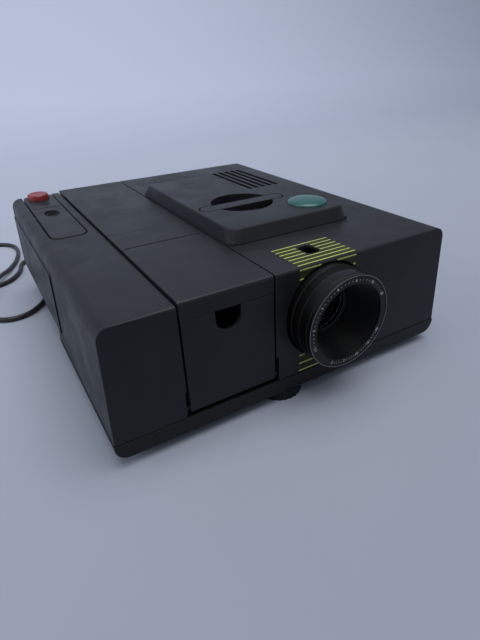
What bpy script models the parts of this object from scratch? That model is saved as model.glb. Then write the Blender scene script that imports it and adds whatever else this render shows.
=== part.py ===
"""A straight-tray slide projector: casing, covers, tray channel, optics, slide mover, fan, feet and cords.

Metres, +Z up. The lens looks along -Y, the magazine channel runs front to back, and the origin lies on the
table under the middle of the projector.
"""

import math

import bmesh
import bpy
from mathutils import Matrix, Vector

# Driving sizes of the whole projector
WIDTH = 0.284
DEPTH = 0.312
BODY_HEIGHT = 0.094
BASE_HEIGHT = 0.0115
FOOT_HEIGHT = 0.008
LENS_REACH = 0.0208
SIDE_DRAFT = 0.0037
FRONT_DRAFT = 0.0039
LEFT_WIDTH = 0.0515
LEFT_DROP = 0.002
CHANNEL_WIDTH = 0.068
WALL = 0.0025
GROOVE = 0.0012

# Clearances
SEAT = 0.0003
RUNNING = 0.0005
OVERRUN = 0.003
TINY = 0.00002

# Roundings of the casing
SOFT_EDGE = 0.008
CRISP_EDGE = 0.0020
CORNER = 0.004
BASE_SIDE_EDGE = 0.0095

# Faces of the body
LEFT = -WIDTH / 2
RIGHT = WIDTH / 2
FRONT = -(DEPTH + LENS_REACH) / 2 + LENS_REACH
BACK = FRONT + DEPTH
BASE = FOOT_HEIGHT
BAND_TOP = BASE + BASE_HEIGHT
TOP = BASE + BODY_HEIGHT
LEFT_TOP = TOP - LEFT_DROP
COVER_FOOT = BAND_TOP + SEAT
BASE_FLOOR = BASE + WALL

# The magazine channel, between the two grooves
CHANNEL_LEFT = LEFT + LEFT_WIDTH + GROOVE / 2
CHANNEL_RIGHT = LEFT + LEFT_WIDTH + CHANNEL_WIDTH - GROOVE / 2
CHANNEL_WALL = 0.002
CHANNEL_FLOOR_OVER_BASE = 0.024
CHANNEL_FLOOR = BASE + CHANNEL_FLOOR_OVER_BASE
CHANNEL_FLOOR_THICK = 0.0025
LID_THICK = 0.003
LINER_TOP = TOP - LID_THICK - SEAT
LEFT_COVER_RIGHT = CHANNEL_LEFT - GROOVE
HOUSING_LEFT = CHANNEL_RIGHT + GROOVE

# The optical axis runs along Y through the lens, the gate and the lamp
AXIS_FROM_LEFT = 0.1645
AXIS_X = LEFT + AXIS_FROM_LEFT
AXIS_UNDER_TOP = 0.0375
AXIS_Z = TOP - AXIS_UNDER_TOP
GATE_FROM_FRONT = 0.1185
GATE_Y = FRONT + GATE_FROM_FRONT

STEPS = 28
FINE_STEPS = 40


def side_lean(height):
    """How far a side wall has come in at this height above the base's underside."""
    return SIDE_DRAFT * height / BODY_HEIGHT


def front_lean(height):
    """How far the front wall has come back at this height above the base's underside."""
    return FRONT_DRAFT * height / BODY_HEIGHT


# Tools for making solids


def paint(name, colour, roughness, metallic=0.0, transmission=0.0):
    made = bpy.data.materials.new(name)
    made.use_nodes = True
    shader = made.node_tree.nodes["Principled BSDF"]
    shader.inputs["Base Color"].default_value = (*colour, 1.0)
    shader.inputs["Roughness"].default_value = roughness
    shader.inputs["Metallic"].default_value = metallic
    shader.inputs["Transmission Weight"].default_value = transmission
    made.diffuse_color = (*colour, 1.0)
    return made


def solid(name, shape, material, origin=(0, 0, 0), sharp_deg=35):
    """Makes an object of a bmesh given in world places, with its own origin."""
    bmesh.ops.recalc_face_normals(shape, faces=shape.faces)
    origin = Vector(origin)
    bmesh.ops.translate(shape, verts=shape.verts, vec=-origin)
    mesh = bpy.data.meshes.new(name)
    shape.to_mesh(mesh)
    shape.free()
    mesh.shade_smooth()
    mesh.set_sharp_from_angle(angle=math.radians(sharp_deg))
    made = bpy.data.objects.new(name, mesh)
    made.location = origin
    bpy.context.scene.collection.objects.link(made)
    if material:
        mesh.materials.append(material)
    return made


def tool(shape, name="cutter"):
    """A solid that only shapes others."""
    made = solid(name, shape, None)
    made.hide_render = True
    made.display_type = "WIRE"
    return made


def combine(target, shape, operation, name):
    step = target.modifiers.new(name, "BOOLEAN")
    step.operation = operation
    step.solver = "EXACT"
    step.object = shape if isinstance(shape, bpy.types.Object) else tool(shape, name)
    return target


def cut(target, shape, name="cut"):
    return combine(target, shape, "DIFFERENCE", name)


def join(target, shape, name="join"):
    return combine(target, shape, "UNION", name)


def block(x0, x1, y0, y1, z0, z1, left=0.0, right=0.0, front=0.0, back=0.0):
    """A box; left, right, front and back draw the top edges inwards."""
    shape = bmesh.new()
    low = [(x0, y0, z0), (x1, y0, z0), (x1, y1, z0), (x0, y1, z0)]
    high = [(x0 + left, y0 + front, z1), (x1 - right, y0 + front, z1),
            (x1 - right, y1 - back, z1), (x0 + left, y1 - back, z1)]
    corners = [shape.verts.new(place) for place in low + high]
    for face in ((3, 2, 1, 0), (4, 5, 6, 7), (0, 1, 5, 4), (1, 2, 6, 5), (2, 3, 7, 6), (3, 0, 4, 7)):
        shape.faces.new([corners[i] for i in face])
    return shape


def round_off(shape, radius, segments, chosen):
    """Bevels the edges whose two ends pass the test."""
    edges = [edge for edge in shape.edges if chosen(edge.verts[0].co, edge.verts[1].co)]
    bmesh.ops.bevel(shape, geom=edges, offset=radius, segments=segments, profile=0.5, affect="EDGES")
    return shape


def upright(a, b):
    return abs(a.z - b.z) > max(abs(a.x - b.x), abs(a.y - b.y))


def prism(outline, axis, start, end):
    """Sweeps a closed outline along an axis; it lies in the other two axes, in alphabetical order."""
    place = {"X": lambda p, h: (h, p[0], p[1]), "Y": lambda p, h: (p[0], h, p[1]), "Z": lambda p,
             h: (p[0], p[1], h)}[axis]
    shape = bmesh.new()
    low = [shape.verts.new(place(point, start)) for point in outline]
    high = [shape.verts.new(place(point, end)) for point in outline]
    shape.faces.new(low)
    shape.faces.new(high)
    count = len(outline)
    for i in range(count):
        shape.faces.new((low[i], low[(i + 1) % count], high[(i + 1) % count], high[i]))
    return shape


def turned(profile, centre, axis, steps=STEPS):
    """Turns a section of (radius, along) points round an axis; a section off the axis closes on itself."""
    place = {"X": lambda u, v, h: (h, u, v), "Y": lambda u, v, h: (u, h, v), "Z": lambda u, v,
             h: (u, v, h)}[axis]
    shape = bmesh.new()
    rings = []
    for radius, along in profile:
        if radius == 0:
            rings.append([shape.verts.new(Vector(centre) + Vector(place(0, 0, along)))])
            continue
        turn = [math.tau * i / steps for i in range(steps)]
        rings.append([shape.verts.new(Vector(centre) + Vector(place(radius * math.cos(t),
                                                                    radius * math.sin(t), along)))
                      for t in turn])
    pairs = list(zip(rings, rings[1:]))
    if profile[0][0] > 0:
        pairs.append((rings[-1], rings[0]))
    for a, b in pairs:
        for i in range(steps):
            j = (i + 1) % steps
            face = [a[0]] if len(a) == 1 else [a[i], a[j]]
            face += [b[0]] if len(b) == 1 else [b[j], b[i]]
            shape.faces.new(face)
    return shape


def rod(centre, axis, radius, start, end, steps=STEPS):
    return turned([(0, start), (radius, start), (radius, end), (0, end)], centre, axis, steps)


def rounded(x0, x1, y0, y1, radius, steps=5):
    """The outline of a rectangle with round corners."""
    outline = []
    for cx, cy, start in ((x1 - radius, y0 + radius, -90), (x1 - radius, y1 - radius, 0),
                          (x0 + radius, y1 - radius, 90), (x0 + radius, y0 + radius, 180)):
        for i in range(steps + 1):
            angle = math.radians(start + 90 * i / steps)
            outline.append((cx + radius * math.cos(angle), cy + radius * math.sin(angle)))
    return outline


def gear_outline(teeth, root, tip, centre, root_share, tip_share):
    """A spur gear's outline; the shares are the tooth's widths at root and tip, of one pitch."""
    outline = []
    pitch = math.tau / teeth
    for i in range(teeth):
        middle = pitch * i
        for radius, offset in ((root, -root_share / 2), (tip, -tip_share / 2), (tip, tip_share / 2),
                               (root, root_share / 2)):
            angle = middle + pitch * offset
            outline.append((centre[0] + radius * math.cos(angle), centre[1] + radius * math.sin(angle)))
    return outline


def smooth_route(points, step):
    """Points a step apart along a smooth curve through the route's own points."""
    knots = [Vector(point) for point in points]
    knots = [knots[0] * 2 - knots[1]] + knots + [knots[-1] * 2 - knots[-2]]
    fine = []
    for p0, p1, p2, p3 in zip(knots, knots[1:], knots[2:], knots[3:]):
        for i in range(24):
            t = i / 24
            fine.append(0.5 * (2 * p1 + (p2 - p0) * t + (2 * p0 - 5 * p1 + 4 * p2 - p3) * t * t
                               + (3 * p1 - p0 - 3 * p2 + p3) * t * t * t))
    fine.append(knots[-2])
    length = sum((b - a).length for a, b in zip(fine, fine[1:]))
    count = max(2, round(length / step))
    wanted = [length * i / count for i in range(1, count)]
    route = [fine[0]]
    run = 0.0
    for a, b in zip(fine, fine[1:]):
        piece = (b - a).length
        while wanted and wanted[0] <= run + piece:
            route.append(a.lerp(b, (wanted.pop(0) - run) / piece))
        run += piece
    route.append(fine[-1])
    return route


def tube(name, points, diameter, resolution, material):
    """A cord along these points, with flat ends."""
    line = bpy.data.curves.new(name, "CURVE")
    line.dimensions = "3D"
    line.bevel_depth = diameter / 2
    line.bevel_resolution = resolution
    line.use_fill_caps = True
    spline = line.splines.new("POLY")
    spline.points.add(len(points) - 1)
    for target, point in zip(spline.points, points):
        target.co = (*point, 1.0)
    made = bpy.data.objects.new(name, line)
    bpy.context.scene.collection.objects.link(made)
    line.materials.append(material)
    return made


for old in list(bpy.data.objects):
    bpy.data.objects.remove(old)

ANTHRACITE = paint("anthracite_plastic", (0.042, 0.044, 0.050), 0.42)
BLACK = paint("black_plastic", (0.012, 0.012, 0.014), 0.5)
LENS_BLACK = paint("lens_black", (0.010, 0.010, 0.011), 0.35)
GREEN = paint("green_plastic", (0.02, 0.20, 0.13), 0.2)
RED = paint("red_plastic", (0.55, 0.03, 0.02), 0.35)
RUBBER = paint("black_rubber", (0.015, 0.015, 0.016), 0.8)
GLASS = paint("optical_glass", (0.85, 0.9, 0.92), 0.03, 0.0, 1.0)
HEAT_GLASS = paint("heat_glass", (0.6, 0.85, 0.8), 0.05, 0.0, 1.0)
SHEET = paint("zinc_sheet", (0.55, 0.56, 0.58), 0.35, 1.0)
STEEL = paint("steel", (0.5, 0.5, 0.52), 0.3, 1.0)
MIRROR = paint("mirror", (0.9, 0.9, 0.9), 0.05, 1.0)
CERAMIC = paint("ceramic", (0.8, 0.78, 0.72), 0.6)
NYLON = paint("white_nylon", (0.75, 0.73, 0.68), 0.5)
COPPER = paint("wound_copper", (0.45, 0.16, 0.06), 0.4, 1.0)
LAMINATED = paint("laminated_iron", (0.16, 0.16, 0.17), 0.5, 1.0)
BOARD = paint("circuit_board_green", (0.03, 0.14, 0.06), 0.5)

# Base tray: a black pan with raised sills on the left, a cord notch between them, and seats for the works

SILL_TOP_OVER_BASE = 0.0252
SILL_TOP = BASE + SILL_TOP_OVER_BASE
SILL_CORNER = 0.010
FRONT_SILL_START_FROM_FRONT = 0.097
FRONT_SILL_END_FROM_FRONT = 0.149
FRONT_SILL = (FRONT + FRONT_SILL_START_FROM_FRONT, FRONT + FRONT_SILL_END_FROM_FRONT)
BACK_SILL_START_FROM_FRONT = 0.211
BACK_SILL_START = FRONT + BACK_SILL_START_FROM_FRONT
NOTCH_DEPTH = 0.016
SILL_THICK = 0.0025
LEDGE_THICK = 0.0042
FOOT_FROM_CHANNEL = 0.0119
FOOT_X = HOUSING_LEFT + FOOT_FROM_CHANNEL
FOOT_FROM_FRONT = 0.0165
FOOT_Y = FRONT + FOOT_FROM_FRONT
FOOT_RADIUS = 0.018
STUD_RADIUS = 0.004
INTAKE_COUNT = 9
INTAKE_PITCH = 0.0065
INTAKE_WIDTH = 0.003
INTAKE_LENGTH = 0.052
CORE_LENGTH = 0.066
CORE_DEPTH = 0.040
CORE_FROM_RIGHT = 0.0100
CORE_X = (RIGHT - CORE_FROM_RIGHT - CORE_LENGTH, RIGHT - CORE_FROM_RIGHT)
CORE_FROM_BACK = 0.0220
CORE_Y = (BACK - CORE_FROM_BACK - CORE_DEPTH, BACK - CORE_FROM_BACK)
FAN_HALF = 0.0345
FAN_TO_CORE = 0.0255
FAN_FROM_RIGHT = 0.0170
FAN_X = RIGHT - FAN_FROM_RIGHT - FAN_HALF
FAN_Y = CORE_Y[0] - FAN_TO_CORE - FAN_HALF
POST_RADIUS = 0.003
BOARD_OVER_BASE = 0.0085
BOARD_Z = BASE + BOARD_OVER_BASE
BOARD_WIDTH = 0.058
BOARD_FROM_RIGHT = 0.0100
BOARD_X = (RIGHT - BOARD_FROM_RIGHT - BOARD_WIDTH, RIGHT - BOARD_FROM_RIGHT)
BOARD_START_FROM_FRONT = 0.022
BOARD_END_FROM_FRONT = 0.108
BOARD_Y = (FRONT + BOARD_START_FROM_FRONT, FRONT + BOARD_END_FROM_FRONT)
REAR_FOOT_RADIUS = 0.008
REAR_FOOT_INSET = 0.022


def low_corner(side, inward, radius, steps=6):
    """What lies outside the rounding of the base's lower edge on one side."""
    turns = [math.pi / 2 * i / steps for i in range(steps + 1)]
    arc = [(side + inward * radius * (1 - math.cos(t)), BASE + radius * (1 - math.sin(t))) for t in turns]
    outside = side - inward * OVERRUN
    below = BASE - OVERRUN
    return arc + [(side + inward * radius, below), (outside, below), (outside, BASE + radius)]


def make_base_tray():
    tray = solid("base_tray", block(LEFT, RIGHT, FRONT, BACK, BASE, BAND_TOP), BLACK)
    pan = block(LEFT + WALL, RIGHT - WALL, FRONT + WALL, BACK - WALL, BASE_FLOOR, BAND_TOP + OVERRUN)
    round_off(pan, BASE_SIDE_EDGE - WALL, 5, lambda a, b: max(a.z, b.z) < BASE_FLOOR + TINY
              and abs(a.x - b.x) < TINY)
    cut(tray, pan, "pan")
    start, end = FRONT_SILL
    web = LEFT + NOTCH_DEPTH
    sill = block(LEFT + side_lean(BASE_FLOOR - BASE) + TINY, LEFT + SILL_THICK, start, end, BASE_FLOOR,
                 SILL_TOP,
                 left=side_lean(SILL_TOP - BASE_FLOOR))
    round_off(sill, SILL_CORNER, 4, lambda a, b: a.z > SILL_TOP - TINY and b.z > SILL_TOP - TINY
              and abs(a.y - b.y) < TINY and a.y < start + TINY)
    join(tray, sill, "front_sill")
    notch = block(LEFT - OVERRUN, web, end, BACK + OVERRUN, BASE - OVERRUN, SILL_TOP + OVERRUN)
    cut(tray, notch, "cord_notch")
    cross = block(LEFT + SILL_THICK - TINY, web + SILL_THICK, end - SILL_THICK, end, BASE_FLOOR - TINY,
                  SILL_TOP)
    join(tray, cross, "sill_end")
    inner_back = BACK - WALL - SEAT * 2
    join(tray, block(web, web + SILL_THICK, end - TINY, inner_back, BASE_FLOOR - TINY, SILL_TOP),
         "notch_web")
    join(tray, block(web, web + SILL_THICK, inner_back - SILL_THICK, BACK - WALL / 2, BASE_FLOOR - TINY,
                     BAND_TOP - SEAT), "web_end")
    ledge_low = SILL_TOP - LEDGE_THICK
    ledge = block(LEFT + side_lean(ledge_low - BASE) + TINY, web + TINY, BACK_SILL_START, inner_back,
                  ledge_low, SILL_TOP,
                  left=side_lean(LEDGE_THICK))
    round_off(ledge, LEDGE_THICK - TINY * 2, 3, lambda a, b: max(a.z, b.z) < ledge_low + TINY and max(a.y,
            b.y) < BACK_SILL_START + TINY)
    join(tray, ledge, "ledge")
    for side, inward in ((LEFT, 1), (RIGHT, -1)):
        cut(tray, prism(low_corner(side, inward, BASE_SIDE_EDGE), "Y", FRONT - OVERRUN, BACK + OVERRUN),
            "low_corner")
    cut(tray, rod((FOOT_X, FOOT_Y, 0), "Z", STUD_RADIUS + RUNNING, BASE - OVERRUN, BASE_FLOOR + OVERRUN,
                  20), "foot_bore")
    first = FAN_X - INTAKE_PITCH * (INTAKE_COUNT - 1) / 2
    for i in range(INTAKE_COUNT):
        middle = first + INTAKE_PITCH * i
        slot = block(middle - INTAKE_WIDTH / 2, middle + INTAKE_WIDTH / 2, FAN_Y - INTAKE_LENGTH / 2,
                     FAN_Y + INTAKE_LENGTH / 2, BASE - OVERRUN, BASE_FLOOR + OVERRUN)
        cut(tray, slot, "intake")
    for x in BOARD_X:
        for y in BOARD_Y:
            inward = POST_RADIUS * 2
            px = x + (inward if x == BOARD_X[0] else -inward)
            py = y + (inward if y == BOARD_Y[0] else -inward)
            join(tray, rod((px, py, 0), "Z", POST_RADIUS, BASE_FLOOR - TINY, BOARD_Z - SEAT, 12),
                 "board_post")
    for x in GEAR_BEARINGS_X:
        post = block(x - GEAR_BEARING_THICK / 2, x + GEAR_BEARING_THICK / 2, GEAR_Y - GEAR_SHAFT * 2,
                     GEAR_Y + GEAR_SHAFT * 2, BASE_FLOOR - TINY, GEAR_Z + GEAR_SHAFT * 2)
        join(tray, post, "gear_bearing")
        cut(tray, rod((0, GEAR_Y, GEAR_Z), "X", GEAR_SHAFT + SEAT, x - GEAR_BEARING_THICK,
                      x + GEAR_BEARING_THICK, 16), "bearing")
    return tray


# Tray transport: a gear under the channel floor whose teeth reach into the magazine's rack

GEAR_FROM_CHANNEL = 0.020
GEAR_X = CHANNEL_LEFT + GEAR_FROM_CHANNEL
GEAR_FROM_FRONT = 0.150
GEAR_Y = FRONT + GEAR_FROM_FRONT
GEAR_TIP = 0.0106
GEAR_ROOT = 0.0086
GEAR_TEETH = 14
GEAR_WIDTH = 0.006
GEAR_REACH = 0.0012
GEAR_SHAFT = 0.0015
GEAR_ROOT_SHARE = 0.62
GEAR_TIP_SHARE = 0.34
GEAR_BEARING_THICK = 0.003
GEAR_Z = CHANNEL_FLOOR + GEAR_REACH - GEAR_TIP
GEAR_BEARINGS_HALF = 0.009
GEAR_BEARINGS_X = (GEAR_X - GEAR_BEARINGS_HALF, GEAR_X + GEAR_BEARINGS_HALF)
TRAY_MOTOR_RADIUS = CHANNEL_FLOOR - CHANNEL_FLOOR_THICK - GEAR_Z - RUNNING
TRAY_MOTOR_LENGTH = 0.024


def make_tray_drive():
    gear = solid("tray_gear", prism(gear_outline(GEAR_TEETH, GEAR_ROOT, GEAR_TIP, (GEAR_Y, GEAR_Z),
                                                 GEAR_ROOT_SHARE, GEAR_TIP_SHARE),
                                    "X", GEAR_X - GEAR_WIDTH / 2, GEAR_X + GEAR_WIDTH / 2), NYLON,
                 (GEAR_X, GEAR_Y, GEAR_Z))
    ends = GEAR_BEARINGS_X[0] - GEAR_BEARING_THICK, GEAR_BEARINGS_X[1] + GEAR_BEARING_THICK
    join(gear, rod((0, GEAR_Y, GEAR_Z), "X", GEAR_SHAFT, *ends, 16), "shaft")
    start = ends[1] + SEAT
    motor = turned([(0, start), (TRAY_MOTOR_RADIUS * 0.4, start), (TRAY_MOTOR_RADIUS * 0.4, start + WALL),
                    (TRAY_MOTOR_RADIUS, start + WALL), (TRAY_MOTOR_RADIUS, start + TRAY_MOTOR_LENGTH),
                    (0, start + TRAY_MOTOR_LENGTH)], (0, GEAR_Y, GEAR_Z), "X", 20)
    motor = solid("tray_motor", motor, STEEL)
    foot = block(start + WALL * 2, start + TRAY_MOTOR_LENGTH - WALL, GEAR_Y - TRAY_MOTOR_RADIUS,
                 GEAR_Y + TRAY_MOTOR_RADIUS,
                 BASE_FLOOR + SEAT, GEAR_Z)
    join(motor, foot, "motor_saddle")


# Left cover: the lower left module with the handset's dock and the side door's opening

DOCK_START_FROM_LEFT = 0.0138
DOCK_END_FROM_LEFT = 0.0440
DOCK_X = (LEFT + DOCK_START_FROM_LEFT, LEFT + DOCK_END_FROM_LEFT)
DOCK_FRONT_FROM_BACK = 0.1516
DOCK_FRONT = BACK - DOCK_FRONT_FROM_BACK
DOCK_DEPTH = 0.0145
DOCK_CORNER = 0.0085
DOOR_START_FROM_FRONT = 0.1300
DOOR_START = FRONT + DOOR_START_FROM_FRONT
DOOR_END_FROM_BACK = 0.004
DOOR_END = BACK - DOOR_END_FROM_BACK
DOOR_TOP_UNDER_TOP = 0.0105
DOOR_TOP = LEFT_TOP - DOOR_TOP_UNDER_TOP
DOOR_GAP = 0.0004
DOOR_BARREL = 0.0021
DOOR_PIN = 0.0010
DOOR_PROUD = 0.0010
DOOR_SHOULDER = 0.0029
EAR_LENGTH = 0.005
SIDE_DOOR_Y = (DOOR_START + DOOR_GAP, DOOR_END - DOOR_GAP)
SIDE_HINGE_Z = DOOR_TOP - DOOR_GAP - DOOR_BARREL
SIDE_HINGE_X = LEFT + side_lean(SIDE_HINGE_Z - BASE) + DOOR_BARREL + TINY
PIN_REACH = 0.002


def left_shell(inset, foot):
    """The left module's block; inset makes the hollow inside it."""
    low = foot - BASE
    rise = LEFT_TOP - inset - foot
    return block(LEFT + side_lean(low) + inset, LEFT_COVER_RIGHT - inset, FRONT + front_lean(low) + inset,
                 BACK - inset, foot, foot + rise, left=side_lean(rise), front=front_lean(rise))


def make_left_cover():
    outer = left_shell(0.0, COVER_FOOT)
    high = LEFT_TOP - TINY
    round_off(outer, SOFT_EDGE, 6, lambda a, b: a.z > high and b.z > high and abs(a.x - b.x) < TINY
              and a.x < (LEFT + LEFT_COVER_RIGHT) / 2)
    round_off(outer, CRISP_EDGE, 2, lambda a, b: a.z > high and b.z > high and abs(a.y - b.y) < TINY
              and a.y < FRONT + CORNER * 2)
    cover = solid("left_cover", outer, ANTHRACITE)
    hollow = left_shell(WALL, COVER_FOOT - OVERRUN)
    round_off(hollow, SOFT_EDGE - WALL, 4, lambda a, b: min(a.z, b.z) > LEFT_TOP - WALL - TINY
              and abs(a.x - b.x) < TINY
              and a.x < (LEFT + LEFT_COVER_RIGHT) / 2)
    hollow = tool(hollow, "left_hollow")
    dock_floor = LEFT_TOP - DOCK_DEPTH
    keep = prism(rounded(DOCK_X[0] - WALL, DOCK_X[1] + WALL, DOCK_FRONT - WALL, BACK + OVERRUN,
                         DOCK_CORNER + WALL),
                 "Z", dock_floor - WALL, LEFT_TOP + OVERRUN)
    cut(hollow, keep, "dock_walls")
    for start in (DOOR_START - EAR_LENGTH, DOOR_END):
        ear = block(SIDE_HINGE_X - DOOR_BARREL, SIDE_HINGE_X + DOOR_BARREL * 2, start, start + EAR_LENGTH,
                    SIDE_HINGE_Z - DOOR_BARREL * 2, LEFT_TOP - WALL + OVERRUN)
        cut(hollow, ear, "ear")
    cut(cover, hollow, "hollow")
    cut(cover, prism(rounded(*DOCK_X, DOCK_FRONT, BACK + OVERRUN + DOCK_CORNER, DOCK_CORNER), "Z",
                     dock_floor,
                     LEFT_TOP + OVERRUN), "dock")
    cut(cover, block(LEFT - OVERRUN, LEFT + SOFT_EDGE * 0.8, DOOR_START, DOOR_END, BASE, DOOR_TOP),
        "door_opening")
    arch = block(LEFT - OVERRUN, LEFT + SILL_THICK + side_lean(SILL_TOP - BASE) + SEAT,
                 FRONT_SILL[0] - SEAT * 2,
                 BACK + OVERRUN, BASE, SILL_TOP + SEAT * 2)
    round_off(arch, SILL_CORNER, 4, lambda a, b: min(a.z, b.z) > SILL_TOP and abs(a.y - b.y) < TINY
              and a.y < FRONT_SILL[1])
    cut(cover, arch, "sill_arch")
    cut(cover, block(LEFT - OVERRUN, LEFT + NOTCH_DEPTH - SEAT, BACK - WALL - OVERRUN, BACK + OVERRUN, BASE,
                     SILL_TOP + SEAT * 2),
        "rear_notch")
    for y in (DOOR_START, DOOR_END):
        cut(cover, rod((SIDE_HINGE_X, 0, SIDE_HINGE_Z), "Y", DOOR_PIN + SEAT, y - PIN_REACH - SEAT * 2,
                       y + PIN_REACH + SEAT * 2, 16), "pin_socket")
    slot = block(LEFT_COVER_RIGHT - HINGE_SLOT, LEFT_COVER_RIGHT + OVERRUN, FRONT - OVERRUN,
                 FRONT + HINGE_SLOT_DEPTH,
                 BAND_TOP, DOOR_SLOT_TOP)
    cut(cover, slot, "hinge_slot")
    cut(cover, rod((0, FRONT_HINGE_Y, FRONT_HINGE_Z), "X", FRONT_PIN + SEAT,
                   LEFT_COVER_RIGHT - WALL - OVERRUN,
                   LEFT_COVER_RIGHT + OVERRUN, 20), "door_pin_bore")
    return cover


def make_side_door():
    """A panel a little proud of the side wall, thinner by its hinge so that it clears the cover when open."""
    low = SILL_TOP + SEAT * 4
    shoulder = SIDE_HINGE_Z - DOOR_SHOULDER
    foot, middle, head = (LEFT + side_lean(z - BASE) for z in (low, shoulder, SIDE_HINGE_Z))
    outline = [(foot - DOOR_PROUD, low), (foot + WALL, low), (head + WALL, SIDE_HINGE_Z),
               (head, SIDE_HINGE_Z),
               (middle, shoulder), (middle - DOOR_PROUD, shoulder)]
    door = solid("side_door", prism(outline, "Y", *SIDE_DOOR_Y), ANTHRACITE,
                 (SIDE_HINGE_X, (SIDE_DOOR_Y[0] + SIDE_DOOR_Y[1]) / 2, SIDE_HINGE_Z))
    join(door, rod((SIDE_HINGE_X, 0, SIDE_HINGE_Z), "Y", DOOR_BARREL, *SIDE_DOOR_Y, 20), "barrel")
    join(door, rod((SIDE_HINGE_X, 0, SIDE_HINGE_Z), "Y", DOOR_PIN, SIDE_DOOR_Y[0] - PIN_REACH,
                   SIDE_DOOR_Y[1] + PIN_REACH, 12),
         "pins")
    return door


# Handset of the remote control, stowed in its dock

HANDSET_GAP = 0.0010
HANDSET_X = (DOCK_X[0] + HANDSET_GAP, DOCK_X[1] - HANDSET_GAP)
HANDSET_Y = (DOCK_FRONT + HANDSET_GAP, BACK - SEAT)
HANDSET_BOTTOM = LEFT_TOP - DOCK_DEPTH + SEAT
HANDSET_SPLIT_OVER_BOTTOM = 0.0075
HANDSET_SPLIT = HANDSET_BOTTOM + HANDSET_SPLIT_OVER_BOTTOM
HANDSET_RISE = 0.0003
HANDSET_TOP = LEFT_TOP + HANDSET_RISE
HANDSET_WALL = 0.0018
RED_FROM_LEFT = 0.0286
RED_X = LEFT + RED_FROM_LEFT
RED_FROM_BACK = 0.0130
RED_Y = BACK - RED_FROM_BACK
RED_RADIUS = 0.0103
RED_RISE = 0.0052
ROCKER_FROM_LEFT = 0.0294
ROCKER_X = LEFT + ROCKER_FROM_LEFT
ROCKER_FROM_BACK = 0.0755
ROCKER_Y = BACK - ROCKER_FROM_BACK
ROCKER_HALF_X = 0.0062
ROCKER_HALF_Y = 0.0105
ROCKER_DIP = 0.0006
KEY_THICK = 0.0022


def make_handset():
    lower = solid("handset_shell", prism(rounded(*HANDSET_X, *HANDSET_Y, DOCK_CORNER - HANDSET_GAP), "Z",
                                         HANDSET_BOTTOM, HANDSET_SPLIT), ANTHRACITE)
    cut(lower, prism(rounded(HANDSET_X[0] + HANDSET_WALL, HANDSET_X[1] - HANDSET_WALL,
                             HANDSET_Y[0] + HANDSET_WALL,
                             HANDSET_Y[1] - HANDSET_WALL, DOCK_CORNER - HANDSET_GAP - HANDSET_WALL), "Z",
                     HANDSET_BOTTOM + HANDSET_WALL, HANDSET_SPLIT + OVERRUN), "inside")
    cut(lower, rod((RED_X, 0, RELIEF_Z), "Y", RELIEF_NECK + SEAT, HANDSET_Y[1] - HANDSET_WALL - OVERRUN,
                   BACK + OVERRUN, 16), "relief_hole")
    upper = solid("handset_cover", prism(rounded(*HANDSET_X, *HANDSET_Y, DOCK_CORNER - HANDSET_GAP), "Z",
                                         HANDSET_SPLIT + SEAT, HANDSET_TOP), ANTHRACITE)
    cut(upper, prism(rounded(HANDSET_X[0] + HANDSET_WALL, HANDSET_X[1] - HANDSET_WALL,
                             HANDSET_Y[0] + HANDSET_WALL,
                             HANDSET_Y[1] - HANDSET_WALL, DOCK_CORNER - HANDSET_GAP - HANDSET_WALL), "Z",
                     HANDSET_SPLIT - OVERRUN, HANDSET_TOP - HANDSET_WALL), "inside")
    cut(upper, rod((RED_X, RED_Y, 0), "Z", RED_RADIUS + SEAT, HANDSET_SPLIT - OVERRUN,
                   HANDSET_TOP + OVERRUN, 32), "button_hole")
    cut(upper, turned_oval(ROCKER_X, ROCKER_Y, ROCKER_HALF_X + RUNNING, ROCKER_HALF_Y + RUNNING,
                           HANDSET_SPLIT - OVERRUN, HANDSET_TOP + OVERRUN), "rocker_hole")
    floor = HANDSET_BOTTOM + HANDSET_WALL
    low = HANDSET_TOP - HANDSET_WALL - KEY_THICK
    red = turned([(0, low), (RED_RADIUS - SEAT, low), (RED_RADIUS - SEAT, HANDSET_TOP + RED_RISE * 0.72),
                  (RED_RADIUS * 0.93, HANDSET_TOP + RED_RISE * 0.93), (RED_RADIUS * 0.80,
                          HANDSET_TOP + RED_RISE),
                  (0, HANDSET_TOP + RED_RISE)], (RED_X, RED_Y, 0), "Z", 32)
    solid("red_button", red, RED, (RED_X, RED_Y, HANDSET_TOP))
    key = turned_oval(ROCKER_X, ROCKER_Y, ROCKER_HALF_X, ROCKER_HALF_Y, low, HANDSET_TOP - ROCKER_DIP)
    rocker = solid("focus_rocker", key, BLACK, (ROCKER_X, ROCKER_Y, low))
    join(rocker, block(ROCKER_X - ROCKER_HALF_X / 2, ROCKER_X + ROCKER_HALF_X / 2, ROCKER_Y - KEY_THICK / 2,
                       ROCKER_Y + KEY_THICK / 2, floor + SEAT, low + TINY), "rocker_foot")
    return upper


def turned_oval(x, y, half_x, half_y, low, high, steps=28):
    outline = [(x + half_x * math.cos(math.tau * i / steps), y + half_y * math.sin(math.tau * i / steps))
               for i in range(steps)]
    return prism(outline, "Z", low, high)


# Front door of the magazine channel, hinged low with its ears in two slots

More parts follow.
